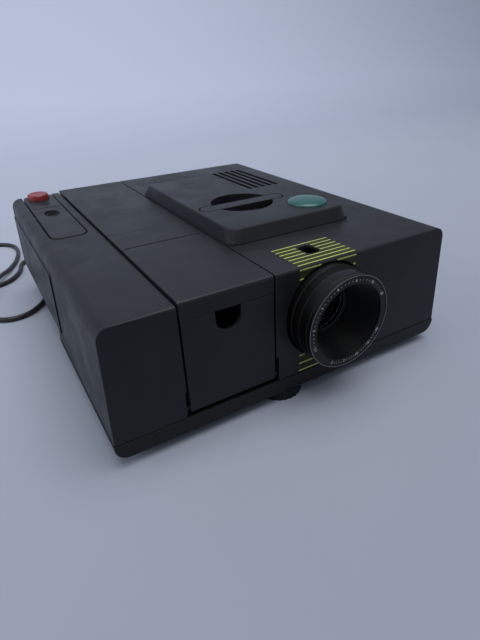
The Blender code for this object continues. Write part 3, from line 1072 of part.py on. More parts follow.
def make_carriage():
    carriage = turned([(LENS_TUBE + SEAT, CARRIAGE_Y[0]), (CARRIAGE_RADIUS, CARRIAGE_Y[0]),
                       (CARRIAGE_RADIUS, CARRIAGE_Y[1]),
                       (LENS_TUBE + SEAT, CARRIAGE_Y[1])], (AXIS_X, 0, AXIS_Z), "Y", STEPS)
    carriage = solid("lens_carriage", carriage, BLACK)
    for side in (-1, 1):
        x = AXIS_X + side * GUIDE_REACH
        inner = AXIS_X + side * LENS_TUBE * 0.4
        outer = x + side * GUIDE_RADIUS * 2
        lug = block(min(inner, outer), max(inner, outer), LUG_FRONT, CARRIAGE_Y[1],
                    GUIDE_Z - GUIDE_RADIUS * 2,
                    GUIDE_Z + GUIDE_RADIUS * 2)
        lug = tool(lug, "lug")
        cut(lug, rod((AXIS_X, 0, AXIS_Z), "Y", (LENS_TUBE + CARRIAGE_RADIUS) / 2, FRONT, FRONT + DEPTH / 2,
                     STEPS), "lug_inside")
        join(carriage, lug, "lug")
        cut(carriage, rod((x, 0, GUIDE_Z), "Y", GUIDE_RADIUS + SEAT, FRONT, FRONT + DEPTH / 2, 16),
            "guide_bore")
    pitch = math.tau * PINION_PITCH / PINION_TEETH
    face = PINION_X - PINION_PITCH - SEAT
    outline = [(face - RACK_TOOTH * 3, CARRIAGE_Y[0])]
    y = CARRIAGE_Y[0]
    outline.append((face - RACK_TOOTH, y))
    middle = (CARRIAGE_Y[0] + CARRIAGE_Y[1]) / 2
    count = int((CARRIAGE_Y[1] - CARRIAGE_Y[0]) / pitch) - 1
    for i in range(count):
        tooth = middle + (i - (count - 1) / 2) * pitch
        for reach, share in ((0, -0.26), (1, -0.15), (1, 0.15), (0, 0.26)):
            outline.append((face - RACK_TOOTH * (1 - reach), tooth + share * pitch))
    outline += [(face - RACK_TOOTH, CARRIAGE_Y[1]), (face - RACK_TOOTH * 3, CARRIAGE_Y[1])]
    rack = tool(prism(outline, "Z", *RACK_Z), "focus_rack")
    arm = block(AXIS_X + CARRIAGE_RADIUS * 0.8, face - RACK_TOOTH * 2, CARRIAGE_Y[0], CARRIAGE_Y[1],
                *RACK_Z)
    arm = tool(arm, "rack_arm")
    cut(arm, rod((AXIS_X, 0, AXIS_Z), "Y", (LENS_TUBE + CARRIAGE_RADIUS) / 2, FRONT, FRONT + DEPTH / 2,
                 STEPS), "arm_inside")
    join(carriage, arm, "rack_arm")
    join(carriage, rack, "rack")
    for side, name in ((-1, "guide_rod_left"), (1, "guide_rod_right")):
        x = AXIS_X + side * GUIDE_REACH
        guide = solid(name, rod((x, 0, GUIDE_Z), "Y", GUIDE_RADIUS, *GUIDE_Y, 16), STEEL)
        for y in (GUIDE_Y[0] + WALL, GUIDE_Y[1] - WALL):
            post = block(x - GUIDE_RADIUS, x + GUIDE_RADIUS, y - WALL / 2, y + WALL / 2, BASE_FLOOR + SEAT,
                         GUIDE_Z)
            join(guide, post, "guide_post")
    phase = math.pi / PINION_TEETH
    outline = gear_outline(PINION_TEETH, PINION_PITCH - PINION_DEPTH, PINION_PITCH + PINION_DEPTH / 2,
                           (0, 0), PINION_ROOT_SHARE, PINION_TIP_SHARE)
    turn = [(PINION_X + x * math.cos(phase) - y * math.sin(phase),
             PINION_Y + x * math.sin(phase) + y * math.cos(phase))
            for x, y in outline]
    pinion = solid("focus_pinion", prism(turn, "Z", RACK_Z[0] - WALL / 2, RACK_Z[1] + WALL / 2), NYLON,
                   (PINION_X, PINION_Y, AXIS_Z))
    motor_top = RACK_Z[0] - WALL
    cut(pinion, rod((PINION_X, PINION_Y, 0), "Z", MOTOR_SHAFT + SEAT, motor_top, RACK_Z[1] + WALL, 12),
        "pinion_bore")
    motor = turned([(0, BASE_FLOOR + SEAT), (FOCUS_MOTOR_RADIUS, BASE_FLOOR + SEAT),
                    (FOCUS_MOTOR_RADIUS, motor_top - WALL),
                    (FOCUS_MOTOR_RADIUS * 0.35, motor_top - WALL), (FOCUS_MOTOR_RADIUS * 0.35, motor_top),
                    (MOTOR_SHAFT, motor_top),
                    (MOTOR_SHAFT, RACK_Z[1] + WALL), (0, RACK_Z[1] + WALL)], (PINION_X, PINION_Y, 0), "Z",
                   20)
    solid("focus_motor", motor, STEEL)


PINION_FROM_AXIS = 0.0385
PINION_X = AXIS_X + PINION_FROM_AXIS
PINION_Y = (CARRIAGE_Y[0] + CARRIAGE_Y[1]) / 2
MOTOR_SHAFT = 0.001
FOCUS_MOTOR_RADIUS = 0.010
GUIDE_START_FROM_FRONT = 0.0225
GUIDE_END_FROM_FRONT = 0.0780
GUIDE_Y = (FRONT + GUIDE_START_FROM_FRONT, FRONT + GUIDE_END_FROM_FRONT)

# Slide gate and the mover that carries a slide between tray and gate

GATE_HALF = 0.0265
GATE_TOP_UNDER_TOP = 0.0115
GATE_TOP = TOP - GATE_TOP_UNDER_TOP
GATE_SHEET = 0.0020
GATE_SLOT = 0.0060
FRAME_HALF = 0.0185
SLIDE_LOW_FROM_AXIS = 0.0250
SLIDE_LOW = AXIS_Z - SLIDE_LOW_FROM_AXIS
MOVER_BAR_START_UNDER_TOP = 0.0098
MOVER_BAR_END_UNDER_TOP = 0.0064
MOVER_BAR_Z = (TOP - MOVER_BAR_START_UNDER_TOP, TOP - MOVER_BAR_END_UNDER_TOP)
MOVER_HALF_Y = 0.0017
MOVER_FINGER = 0.0020
MOVER_REACH = 0.0262
FINGER_LOW_FROM_AXIS = 0.0165
FINGER_LOW = AXIS_Z - FINGER_LOW_FROM_AXIS
MOVER_TRAVEL = 0.0795
MOVER_END_FROM_RIGHT = 0.0105
MOVER_END = RIGHT - MOVER_END_FROM_RIGHT
MOVER_PINION_TEETH = 10
MOVER_PINION_PITCH = 0.0065
MOVER_TOOTH = 0.0013
BRACKET_SHEET = 0.0015
MOVER_PINION_FROM_AXIS = 0.0365
MOVER_PINION_X = AXIS_X + MOVER_PINION_FROM_AXIS


def make_gate():
    for name, y, ledge in (("gate_front", GATE_Y - GATE_SLOT / 2 - GATE_SHEET, False),
                           ("gate_rear", GATE_Y + GATE_SLOT / 2, True)):
        sheet = block(AXIS_X - GATE_HALF, AXIS_X + GATE_HALF, y, y + GATE_SHEET, BASE_FLOOR + SEAT,
                      GATE_TOP)
        sheet = solid(name, sheet, SHEET)
        cut(sheet, block(AXIS_X - FRAME_HALF, AXIS_X + FRAME_HALF, y - OVERRUN, y + GATE_SHEET + OVERRUN,
                         AXIS_Z - FRAME_HALF,
                         AXIS_Z + FRAME_HALF), "aperture")
        if ledge:
            join(sheet, block(AXIS_X - GATE_HALF, AXIS_X + GATE_HALF, y - GATE_SLOT + SEAT, y + TINY,
                              SLIDE_LOW - GATE_SHEET,
                              SLIDE_LOW), "ledge")


def make_mover():
    x0 = AXIS_X - MOVER_REACH
    bar = block(x0 - MOVER_FINGER, MOVER_END, GATE_Y - MOVER_HALF_Y, GATE_Y + MOVER_HALF_Y, *MOVER_BAR_Z)
    mover = solid("slide_mover", bar, NYLON, (AXIS_X, GATE_Y, MOVER_BAR_Z[0]))
    for x in (x0 - MOVER_FINGER, AXIS_X + MOVER_REACH):
        finger = block(x, x + MOVER_FINGER, GATE_Y - MOVER_HALF_Y, GATE_Y + MOVER_HALF_Y, FINGER_LOW,
                       MOVER_BAR_Z[0] + TINY)
        join(mover, finger, "finger")
    pitch = math.tau * MOVER_PINION_PITCH / MOVER_PINION_TEETH
    start = MOVER_PINION_X - pitch * 1.5
    count = int((MOVER_END - start) / pitch)
    outline = [(start - pitch / 2, MOVER_BAR_Z[0] + TINY)]
    for i in range(count):
        tooth = start + pitch * i
        for reach, share in ((0, -0.25), (1, -0.14), (1, 0.14), (0, 0.25)):
            outline.append((tooth + share * pitch,
                            MOVER_BAR_Z[0] - (MOVER_TOOTH if reach else 0) + (0 if reach else TINY / 2)))
    outline += [(tooth + pitch / 2, MOVER_BAR_Z[0] + TINY), (tooth + pitch / 2, MOVER_BAR_Z[0] + WALL / 2),
                (start - pitch / 2, MOVER_BAR_Z[0] + WALL / 2)]
    join(mover, prism(outline, "Y", GATE_Y - MOVER_HALF_Y * 0.9, GATE_Y + MOVER_HALF_Y * 0.9), "rack")
    centre_z = MOVER_BAR_Z[0] - MOVER_TOOTH - MOVER_PINION_PITCH + MOVER_TOOTH / 2 - SEAT
    outline = gear_outline(MOVER_PINION_TEETH, MOVER_PINION_PITCH - MOVER_TOOTH,
                           MOVER_PINION_PITCH + MOVER_TOOTH / 2, (0, 0), PINION_ROOT_SHARE,
                           PINION_TIP_SHARE)
    offset = math.pi / 2
    turn = [(MOVER_PINION_X + x * math.cos(offset) - y * math.sin(offset),
             centre_z + x * math.sin(offset) + y * math.cos(offset))
            for x, y in outline]
    thick = GATE_SLOT / 2
    pinion = solid("mover_pinion", prism(turn, "Y", GATE_Y - thick, GATE_Y + thick), NYLON,
                   (MOVER_PINION_X, GATE_Y, centre_z))
    join(pinion, rod((MOVER_PINION_X, 0, centre_z), "Y", GEAR_SHAFT, GATE_Y - thick - WALL * 2,
                     GATE_Y + thick + WALL * 2, 16), "shaft")
    make_mover_bracket(thick, centre_z)


def make_mover_bracket(thick, centre_z):
    """A bent sheet that stands on the base and carries the mover's pinion between two cheeks."""
    low = BASE_FLOOR + SEAT
    inner = thick + RUNNING
    outer = inner + BRACKET_SHEET
    bend = centre_z - MOVER_PINION_PITCH * 2
    outline = [(GATE_Y - outer, low), (GATE_Y + outer, low), (GATE_Y + outer, centre_z + GEAR_SHAFT * 2),
               (GATE_Y + inner, centre_z + GEAR_SHAFT * 2), (GATE_Y + inner, bend), (GATE_Y - inner, bend),
               (GATE_Y - inner, centre_z + GEAR_SHAFT * 2), (GATE_Y - outer, centre_z + GEAR_SHAFT * 2)]
    bracket = solid("mover_bracket", prism(outline, "X", MOVER_PINION_X - GEAR_SHAFT * 3,
                                           MOVER_PINION_X + GEAR_SHAFT * 3), SHEET)
    cut(bracket, rod((MOVER_PINION_X, 0, centre_z), "Y", GEAR_SHAFT + SEAT, GATE_Y - outer - OVERRUN,
                     GATE_Y + outer + OVERRUN, 16), "bearings")
    cut(bracket, block(MOVER_PINION_X - GEAR_SHAFT * 4, MOVER_PINION_X + GEAR_SHAFT * 4, GATE_Y - inner,
                       GATE_Y + inner,
                       low + BRACKET_SHEET, bend - BRACKET_SHEET), "bracket_hollow")


# Lamp house, condenser, lamp and mirror

HOUSE_HALF = 0.0272
HOUSE_SHEET = 0.0010
HOUSE_START_FROM_GATE = 0.0070
HOUSE_END_FROM_FRONT = 0.206
HOUSE_Y = (GATE_Y + HOUSE_START_FROM_GATE, FRONT + HOUSE_END_FROM_FRONT)
HOUSE_TOP_UNDER_TOP = 0.0140
HOUSE_TOP = TOP - HOUSE_TOP_UNDER_TOP
HOUSE_FLOOR_OVER_BASE = 0.010
HOUSE_FLOOR = BASE + HOUSE_FLOOR_OVER_BASE
CONDENSER_RADIUS = 0.0225
CRADLE_START_IN_HOUSE = 0.003
CRADLE_END_IN_HOUSE = 0.040
CRADLE_Y = (HOUSE_Y[0] + CRADLE_START_IN_HOUSE, HOUSE_Y[0] + CRADLE_END_IN_HOUSE)
CRADLE_TOP_FROM_AXIS = 0.006
CRADLE_TOP = AXIS_Z - CRADLE_TOP_FROM_AXIS
CONDENSERS = (("condenser_front", 0.0045, 0.010, -1), ("condenser_rear", 0.0255, 0.012, 1))
HEAT_FILTER_IN_HOUSE = 0.0190
HEAT_FILTER_Y = HOUSE_Y[0] + HEAT_FILTER_IN_HOUSE
HEAT_FILTER_THICK = 0.003
LAMP_FROM_FRONT = 0.180
LAMP_Y = FRONT + LAMP_FROM_FRONT
LAMP_RADIUS = 0.006
LAMP_LENGTH = 0.030
LAMP_SOCKET_HALF = 0.0085
MIRROR_FROM_FRONT = 0.200
MIRROR_Y = FRONT + MIRROR_FROM_FRONT
MIRROR_RADIUS = 0.018
MIRROR_DISH = 0.006
MIRROR_THICK = 0.0015


def make_lamp_house():
    outline = [(AXIS_X - HOUSE_HALF, HOUSE_FLOOR), (AXIS_X + HOUSE_HALF, HOUSE_FLOOR),
               (AXIS_X + HOUSE_HALF, HOUSE_TOP),
               (AXIS_X + HOUSE_HALF - HOUSE_SHEET, HOUSE_TOP), (AXIS_X + HOUSE_HALF - HOUSE_SHEET,
                                                                HOUSE_FLOOR + HOUSE_SHEET),
               (AXIS_X - HOUSE_HALF + HOUSE_SHEET, HOUSE_FLOOR + HOUSE_SHEET),
               (AXIS_X - HOUSE_HALF + HOUSE_SHEET, HOUSE_TOP),
               (AXIS_X - HOUSE_HALF, HOUSE_TOP)]
    house = solid("lamp_house", prism(outline, "Y", *HOUSE_Y), SHEET)
    for x in (AXIS_X - HOUSE_HALF, AXIS_X + HOUSE_HALF - HOUSE_SHEET * 3):
        foot = block(x, x + HOUSE_SHEET * 3, HOUSE_Y[0], HOUSE_Y[1], BASE_FLOOR + SEAT, HOUSE_FLOOR + TINY)
        join(house, foot, "house_foot")
    half = HOUSE_HALF - HOUSE_SHEET - SEAT
    floor = HOUSE_FLOOR + HOUSE_SHEET + SEAT
    cradle = solid("condenser_cradle", block(AXIS_X - half, AXIS_X + half, *CRADLE_Y, floor, CRADLE_TOP),
                   BLACK)
    cut(cradle, rod((AXIS_X, 0, AXIS_Z), "Y", CONDENSER_RADIUS + SEAT, CRADLE_Y[0] - OVERRUN,
                    CRADLE_Y[1] + OVERRUN, STEPS), "seat")
    for name, offset, thick, bulge in CONDENSERS:
        lens_glass(name, HOUSE_Y[0] + offset, CONDENSER_RADIUS, thick, bulge)
    solid("heat_filter", rod((AXIS_X, 0, AXIS_Z), "Y", CONDENSER_RADIUS, HEAT_FILTER_Y,
                             HEAT_FILTER_Y + HEAT_FILTER_THICK), HEAT_GLASS)
    socket_top = AXIS_Z - LAMP_LENGTH * 0.62
    socket = block(AXIS_X - LAMP_SOCKET_HALF, AXIS_X + LAMP_SOCKET_HALF, LAMP_Y - LAMP_SOCKET_HALF * 0.7,
                   LAMP_Y + LAMP_SOCKET_HALF * 0.7, floor, socket_top)
    solid("lamp_socket", socket, CERAMIC)
    low = socket_top + SEAT
    bulb = [(0, low), (LAMP_RADIUS * 0.75, low), (LAMP_RADIUS * 0.75, low + LAMP_LENGTH * 0.25),
            (LAMP_RADIUS, low + LAMP_LENGTH * 0.32),
            (LAMP_RADIUS, low + LAMP_LENGTH * 0.82), (LAMP_RADIUS * 0.7, low + LAMP_LENGTH * 0.94),
            (0, low + LAMP_LENGTH)]
    solid("lamp_bulb", turned(bulb, (AXIS_X, LAMP_Y, 0), "Z", 24), GLASS)
    front = [(MIRROR_RADIUS * i / 3, MIRROR_Y - MIRROR_DISH * (i / 3) ** 2) for i in range(4)]
    back = [(r, y + MIRROR_THICK) for r, y in reversed(front)]
    mirror = solid("mirror", turned(front + back, (AXIS_X, 0, AXIS_Z), "Y", STEPS), MIRROR)
    foot = block(AXIS_X - WALL * 2, AXIS_X + WALL * 2, MIRROR_Y + MIRROR_THICK * 0.2,
                 MIRROR_Y + MIRROR_THICK * 1.6,
                 floor, AXIS_Z - MIRROR_RADIUS * 0.3)
    join(mirror, foot, "mirror_bracket")


# Fan under the vents

FAN_HEIGHT = 0.020
FAN_RIM = 0.0025
FAN_DUCT = FAN_HALF - FAN_RIM
BLADE_AIR = 0.0012
FAN_SWEEP = FAN_DUCT - BLADE_AIR
HUB_RADIUS = 0.0120
FAN_BLADES = 7
BLADE_THICK = 0.0012
BLADE_RISE = 0.010
BLADE_LEAN = 0.006
BLADE_ROOT_SHARE = 0.3
SPIDER_WIDTH = 0.004
SPIDER_THICK = 0.0025


def make_fan():
    low = BASE_FLOOR + SEAT
    frame = block(FAN_X - FAN_HALF, FAN_X + FAN_HALF, FAN_Y - FAN_HALF, FAN_Y + FAN_HALF, low,
                  low + FAN_HEIGHT)
    round_off(frame, CORNER, 3, upright)
    frame = solid("fan_frame", frame, BLACK)
    cut(frame, rod((FAN_X, FAN_Y, 0), "Z", FAN_DUCT, low - OVERRUN, low + FAN_HEIGHT + OVERRUN, STEPS),
        "duct")
    for x0, x1, y0, y1 in ((-FAN_DUCT - WALL / 2, FAN_DUCT + WALL / 2, -SPIDER_WIDTH / 2, SPIDER_WIDTH / 2),
                           (-SPIDER_WIDTH / 2, SPIDER_WIDTH / 2, -FAN_DUCT - WALL / 2,
                            FAN_DUCT + WALL / 2)):
        join(frame, block(FAN_X + x0, FAN_X + x1, FAN_Y + y0, FAN_Y + y1, low, low + SPIDER_THICK),
             "spider")
    join(frame, rod((FAN_X, FAN_Y, 0), "Z", HUB_RADIUS, low, low + SPIDER_THICK, 20), "motor_seat")
    seat = low + SPIDER_THICK + SEAT
    motor_top = low + FAN_HEIGHT * 0.42
    motor = [(0, seat), (HUB_RADIUS * 0.8, seat), (HUB_RADIUS * 0.8, motor_top), (MOTOR_SHAFT, motor_top),
             (MOTOR_SHAFT, low + FAN_HEIGHT * 0.8), (0, low + FAN_HEIGHT * 0.8)]
    solid("fan_motor", turned(motor, (FAN_X, FAN_Y, 0), "Z", 20), STEEL)
    hub_low = motor_top + SEAT
    hub_top = low + FAN_HEIGHT * 0.9
    hub = solid("fan_wheel", rod((FAN_X, FAN_Y, 0), "Z", HUB_RADIUS, hub_low, hub_top, 20), BLACK,
                (FAN_X, FAN_Y, hub_low))
    blades = bmesh.new()
    for i in range(FAN_BLADES):
        angle = math.tau * i / FAN_BLADES
        radial = Vector((math.cos(angle), math.sin(angle), 0))
        across = Vector((-math.sin(angle), math.cos(angle), 0))
        middle = Vector((FAN_X, FAN_Y, (hub_low + hub_top) / 2))
        corners = []
        for reach in (HUB_RADIUS * 0.85, FAN_SWEEP):
            for rise in (-1, 1):
                for side in (-1, 1):
                    offset = BLADE_LEAN / 2 * rise + BLADE_THICK / 2 * side
                    place = radial * reach + across * offset * (reach / FAN_SWEEP + BLADE_ROOT_SHARE)
                    corners.append(blades.verts.new(middle + place + Vector((0, 0,
                            BLADE_RISE / 2 * rise * 0.9))))
        for face in ((0, 1, 3, 2), (4, 6, 7, 5), (0, 4, 5, 1), (2, 3, 7, 6), (0, 2, 6, 4), (1, 5, 7, 3)):
            blades.faces.new([corners[j] for j in face])
    join(hub, blades, "blades")
    cut(hub, rod((FAN_X, FAN_Y, 0), "Z", MOTOR_SHAFT + SEAT, hub_low - OVERRUN,
                 low + FAN_HEIGHT * 0.8 + SEAT, 12), "hub_bore")


# Transformer and circuit board

CORE_HEIGHT = 0.054
LEG = 0.011
COIL_GAP = 0.0005


def make_transformer():
    low = BASE_FLOOR + SEAT
    high = low + CORE_HEIGHT
    core = solid("transformer_core", block(*CORE_X, *CORE_Y, low, high), LAMINATED)
    middle = (CORE_X[0] + CORE_X[1]) / 2
    windows = ((CORE_X[0] + LEG, middle - LEG), (middle + LEG, CORE_X[1] - LEG))
    for x0, x1 in windows:
        cut(core, block(x0, x1, CORE_Y[0] - OVERRUN, CORE_Y[1] + OVERRUN, low + LEG, high - LEG), "window")
    wound = windows[0][1] - windows[0][0] - COIL_GAP * 2
    x_in, y_in = LEG + COIL_GAP, (CORE_Y[1] - CORE_Y[0]) / 2 + COIL_GAP
    y_mid = (CORE_Y[0] + CORE_Y[1]) / 2
    coil = prism(rounded(middle - x_in - wound, middle + x_in + wound, y_mid - y_in - wound,
                         y_mid + y_in + wound, CORNER), "Z",
                 low + LEG + COIL_GAP, high - LEG - COIL_GAP)
    coil = solid("transformer_coil", coil, COPPER)
    cut(coil, block(middle - x_in, middle + x_in, y_mid - y_in, y_mid + y_in, low, high), "core_hole")


def make_board():
    board = solid("circuit_board", block(*BOARD_X, *BOARD_Y, BOARD_Z, BOARD_Z + WALL * 0.64), BOARD)
    width, length = BOARD_X[1] - BOARD_X[0], BOARD_Y[1] - BOARD_Y[0]
    top = BOARD_Z + WALL * 0.64
    for x_share, y_share, w_share, l_share, tall in PART_SHARES:
        x, y = BOARD_X[0] + width * x_share, BOARD_Y[0] + length * y_share
        part = block(x, x + width * w_share, y, y + length * l_share, top - TINY, top + CHIP_HEIGHT * tall)
        join(board, part, "component")


CHIP_HEIGHT = 0.004
PART_SHARES = ((0.12, 0.14, 0.30, 0.22, 1.0), (0.55, 0.12, 0.22, 0.14, 3.0), (0.14, 0.50, 0.22, 0.14, 2.0),
               (0.50, 0.44, 0.36, 0.30, 1.2), (0.16, 0.76, 0.50, 0.10, 1.6))

# Feet

THREAD_LENGTH = 0.022
KNURLS = 24
KNURL_DEPTH = 0.0006


def make_feet():
    knurl = []
    for i in range(KNURLS * 2):
        radius = FOOT_RADIUS - (KNURL_DEPTH if i % 2 else 0)
        angle = math.tau * i / (KNURLS * 2)
        knurl.append((FOOT_X + radius * math.cos(angle), FOOT_Y + radius * math.sin(angle)))
    foot = solid("front_foot", prism(knurl, "Z", 0, FOOT_HEIGHT - SEAT), BLACK, (FOOT_X, FOOT_Y, 0))
    join(foot, rod((FOOT_X, FOOT_Y, 0), "Z", STUD_RADIUS, FOOT_HEIGHT / 2, FOOT_HEIGHT + THREAD_LENGTH, 20),
         "stud")
    for name, x in (("rear_foot_left", LEFT + REAR_FOOT_INSET * 1.4), ("rear_foot_right",
            RIGHT - REAR_FOOT_INSET)):
        pad = turned([(0, 0), (REAR_FOOT_RADIUS * 0.85, 0), (REAR_FOOT_RADIUS, FOOT_HEIGHT * 0.4),
                      (REAR_FOOT_RADIUS, BASE - SEAT),
                      (0, BASE - SEAT)], (x, BACK - REAR_FOOT_INSET, 0), "Z", 20)
        solid(name, pad, RUBBER)


# Cords and what is on them

REMOTE_DIAMETER = 0.005
MAINS_DIAMETER = 0.0065
FLOOR_AIR = 0.0002
COIL_AIR = 0.0008
LOOP_POINTS = 24
COIL_WIDTHS = 12
POINT_STEP = 2.8
RELIEF_OVER_BOTTOM = 0.0045
RELIEF_Z = HANDSET_BOTTOM + RELIEF_OVER_BOTTOM
RELIEF_RADIUS = 0.0034
RELIEF_NECK = 0.0019
RELIEF_FLANGE = 0.0024
RELIEF_LENGTH = 0.020
MAINS_RELIEF_LENGTH = 0.030
MAINS_RELIEF_RADIUS = 0.0066
DIN_PLUG_LENGTH = 0.022
DIN_TAIL_LENGTH = 0.014
REMOTE_COIL_CENTRE = (-0.062, 0.264)
REMOTE_COIL_TURNS = 5
MAINS_COIL_TURNS = 6.5
MAINS_COIL_Y = 0.281
PLUG_WIDTH = 0.035
PLUG_THICK = 0.0137
PLUG_LENGTH = 0.036
PLUG_NECK = 0.026
PIN_RADIUS = 0.002
PIN_LENGTH = 0.019
PIN_SPACING = 0.0186

REMOTE_FLOOR = REMOTE_DIAMETER / 2 + FLOOR_AIR
MAINS_FLOOR = MAINS_DIAMETER / 2 + FLOOR_AIR
CROSSING = REMOTE_FLOOR + REMOTE_DIAMETER + COIL_AIR

# From the handset down behind the projector, out to the left in a wide loop that crosses over itself, under
# the rear left corner and on to the coil
REMOTE_ROUTE = [
    (-0.1134, 0.1970, 0.0894), (-0.1130, 0.2070, 0.0815), (-0.1122, 0.2130, 0.0660),
                (-0.1115, 0.2165, 0.0450),
    (-0.1108, 0.2210, 0.0265), (-0.1104, 0.2285, 0.0130), (-0.1115, 0.2385, 0.0060),
                (-0.1170, 0.2485, 0.0033),
    (-0.1270, 0.2530, REMOTE_FLOOR), (-0.1372, 0.2480, REMOTE_FLOOR), (-0.1425, 0.2370, REMOTE_FLOOR),
    (-0.1455, 0.2230, REMOTE_FLOOR), (-0.1515, 0.2090, REMOTE_FLOOR), (-0.1620, 0.1960, REMOTE_FLOOR),
    (-0.1780, 0.1895, REMOTE_FLOOR), (-0.1970, 0.1970, REMOTE_FLOOR), (-0.2120, 0.2220, REMOTE_FLOOR),
    (-0.2140, 0.2580, REMOTE_FLOOR), (-0.2040, 0.2950, REMOTE_FLOOR), (-0.1840, 0.3250, REMOTE_FLOOR),
    (-0.1600, 0.3350, REMOTE_FLOOR), (-0.1430, 0.3220, REMOTE_FLOOR), (-0.1380, 0.2970, REMOTE_FLOOR),
    (-0.1440, 0.2620, REMOTE_FLOOR), (-0.1560, 0.2320, REMOTE_FLOOR + COIL_AIR),
                (-0.1665, 0.2110, CROSSING * 0.75),
    (-0.1755, 0.1900, CROSSING), (-0.1830, 0.1700, CROSSING * 0.75), (-0.1900, 0.1500,
                                                                      REMOTE_FLOOR + COIL_AIR),
    (-0.1940, 0.1250, REMOTE_FLOOR), (-0.1860, 0.1060, REMOTE_FLOOR), (-0.1700, 0.0970, REMOTE_FLOOR),
    (-0.1510, 0.1030, REMOTE_FLOOR), (-0.1350, 0.1240, REMOTE_FLOOR), (-0.1250, 0.1500, REMOTE_FLOOR),
    (-0.1150, 0.1780, REMOTE_FLOOR), (-0.1010, 0.2060, REMOTE_FLOOR), (-0.0850, 0.2210, REMOTE_FLOOR),
]

# From the plug in the rear socket down to the coil, under the mains lead
TAIL_ROUTE = [
    (0.0155, 0.2120, 0.0366), (0.0125, 0.2200, 0.0270), (0.0040, 0.2270, 0.0130), (-0.0090, 0.2295, 0.0075),
    (-0.0250, 0.2290, 0.0080), (-0.0400, 0.2280, 0.0086),
]

# From the strain relief down onto the upper turns of the mains coil
MAINS_ROUTE = [
    (-0.0085, 0.2060, 0.0376), (-0.0085, 0.2200, 0.0335), (-0.0085, 0.2380, 0.0235),
               (-0.0085, 0.2540, 0.0140),
    (-0.0085, 0.2640, 0.0112),
]


def coil_points(centre, start_deg, turns, diameter, clockwise, top_first):
    """Two layers of turns that spiral in and out again; each end runs straight for one diameter."""
    pitch = diameter + COIL_AIR
    middle = turns / 2
    inner = diameter * COIL_WIDTHS / 2 - pitch * turns / 4
    low = diameter / 2 + FLOOR_AIR
    points = []
    count = round(LOOP_POINTS * turns)
    for i in range(count + 1):
        turn = turns * i / count
        climbed = min(1.0, max(0.0, (turn - middle) * 2 + 0.5))
        if top_first:
            climbed = 1.0 - climbed
        radius = inner + pitch * abs(turn - middle)
        angle = math.radians(start_deg) + math.tau * turn * (-1 if clockwise else 1)
        points.append(Vector((centre[0] + radius * math.cos(angle), centre[1] + radius * math.sin(angle),
                              low + pitch * climbed)))
    for end, inward in ((0, 1), (-1, -2)):
        away = (points[end] - points[inward]).normalized() * diameter
        points.insert(0 if end == 0 else len(points), points[end] + away)
    return points


def report_cord(name, points, diameter):
    """Prints a cord's length and the least gap between its turns, measured on its points."""
    length = sum((b - a).length for a, b in zip(points, points[1:]))
    print(f"{name}: length {length:.3f} m")
    skip = LOOP_POINTS // 3
    if len(points) > LOOP_POINTS:
        apart = ((points[i] - points[j]).length for i in range(len(points))
                 for j in range(i + skip, len(points)))
        print(f"{name}: least gap to itself {(min(apart) - diameter) * 1000:.2f} mm")


def meet(points, end, diameter):
    """Two points that lead squarely up to a coil's end, just clear of it."""
    inner = points[1] if end == 0 else points[-2]
    away = (points[end] - inner).normalized()
    return [points[end] + away * (SEAT + diameter), points[end] + away * SEAT]


def routed(start, way, via, coil, end, diameter, step):
    """Leaves the start squarely, follows the chosen points and runs squarely up to a coil's end."""
    before, last = meet(coil, end, diameter)
    first = Vector(start)
    return [first, *smooth_route([first + Vector(way) * diameter, *via, before], step), last]


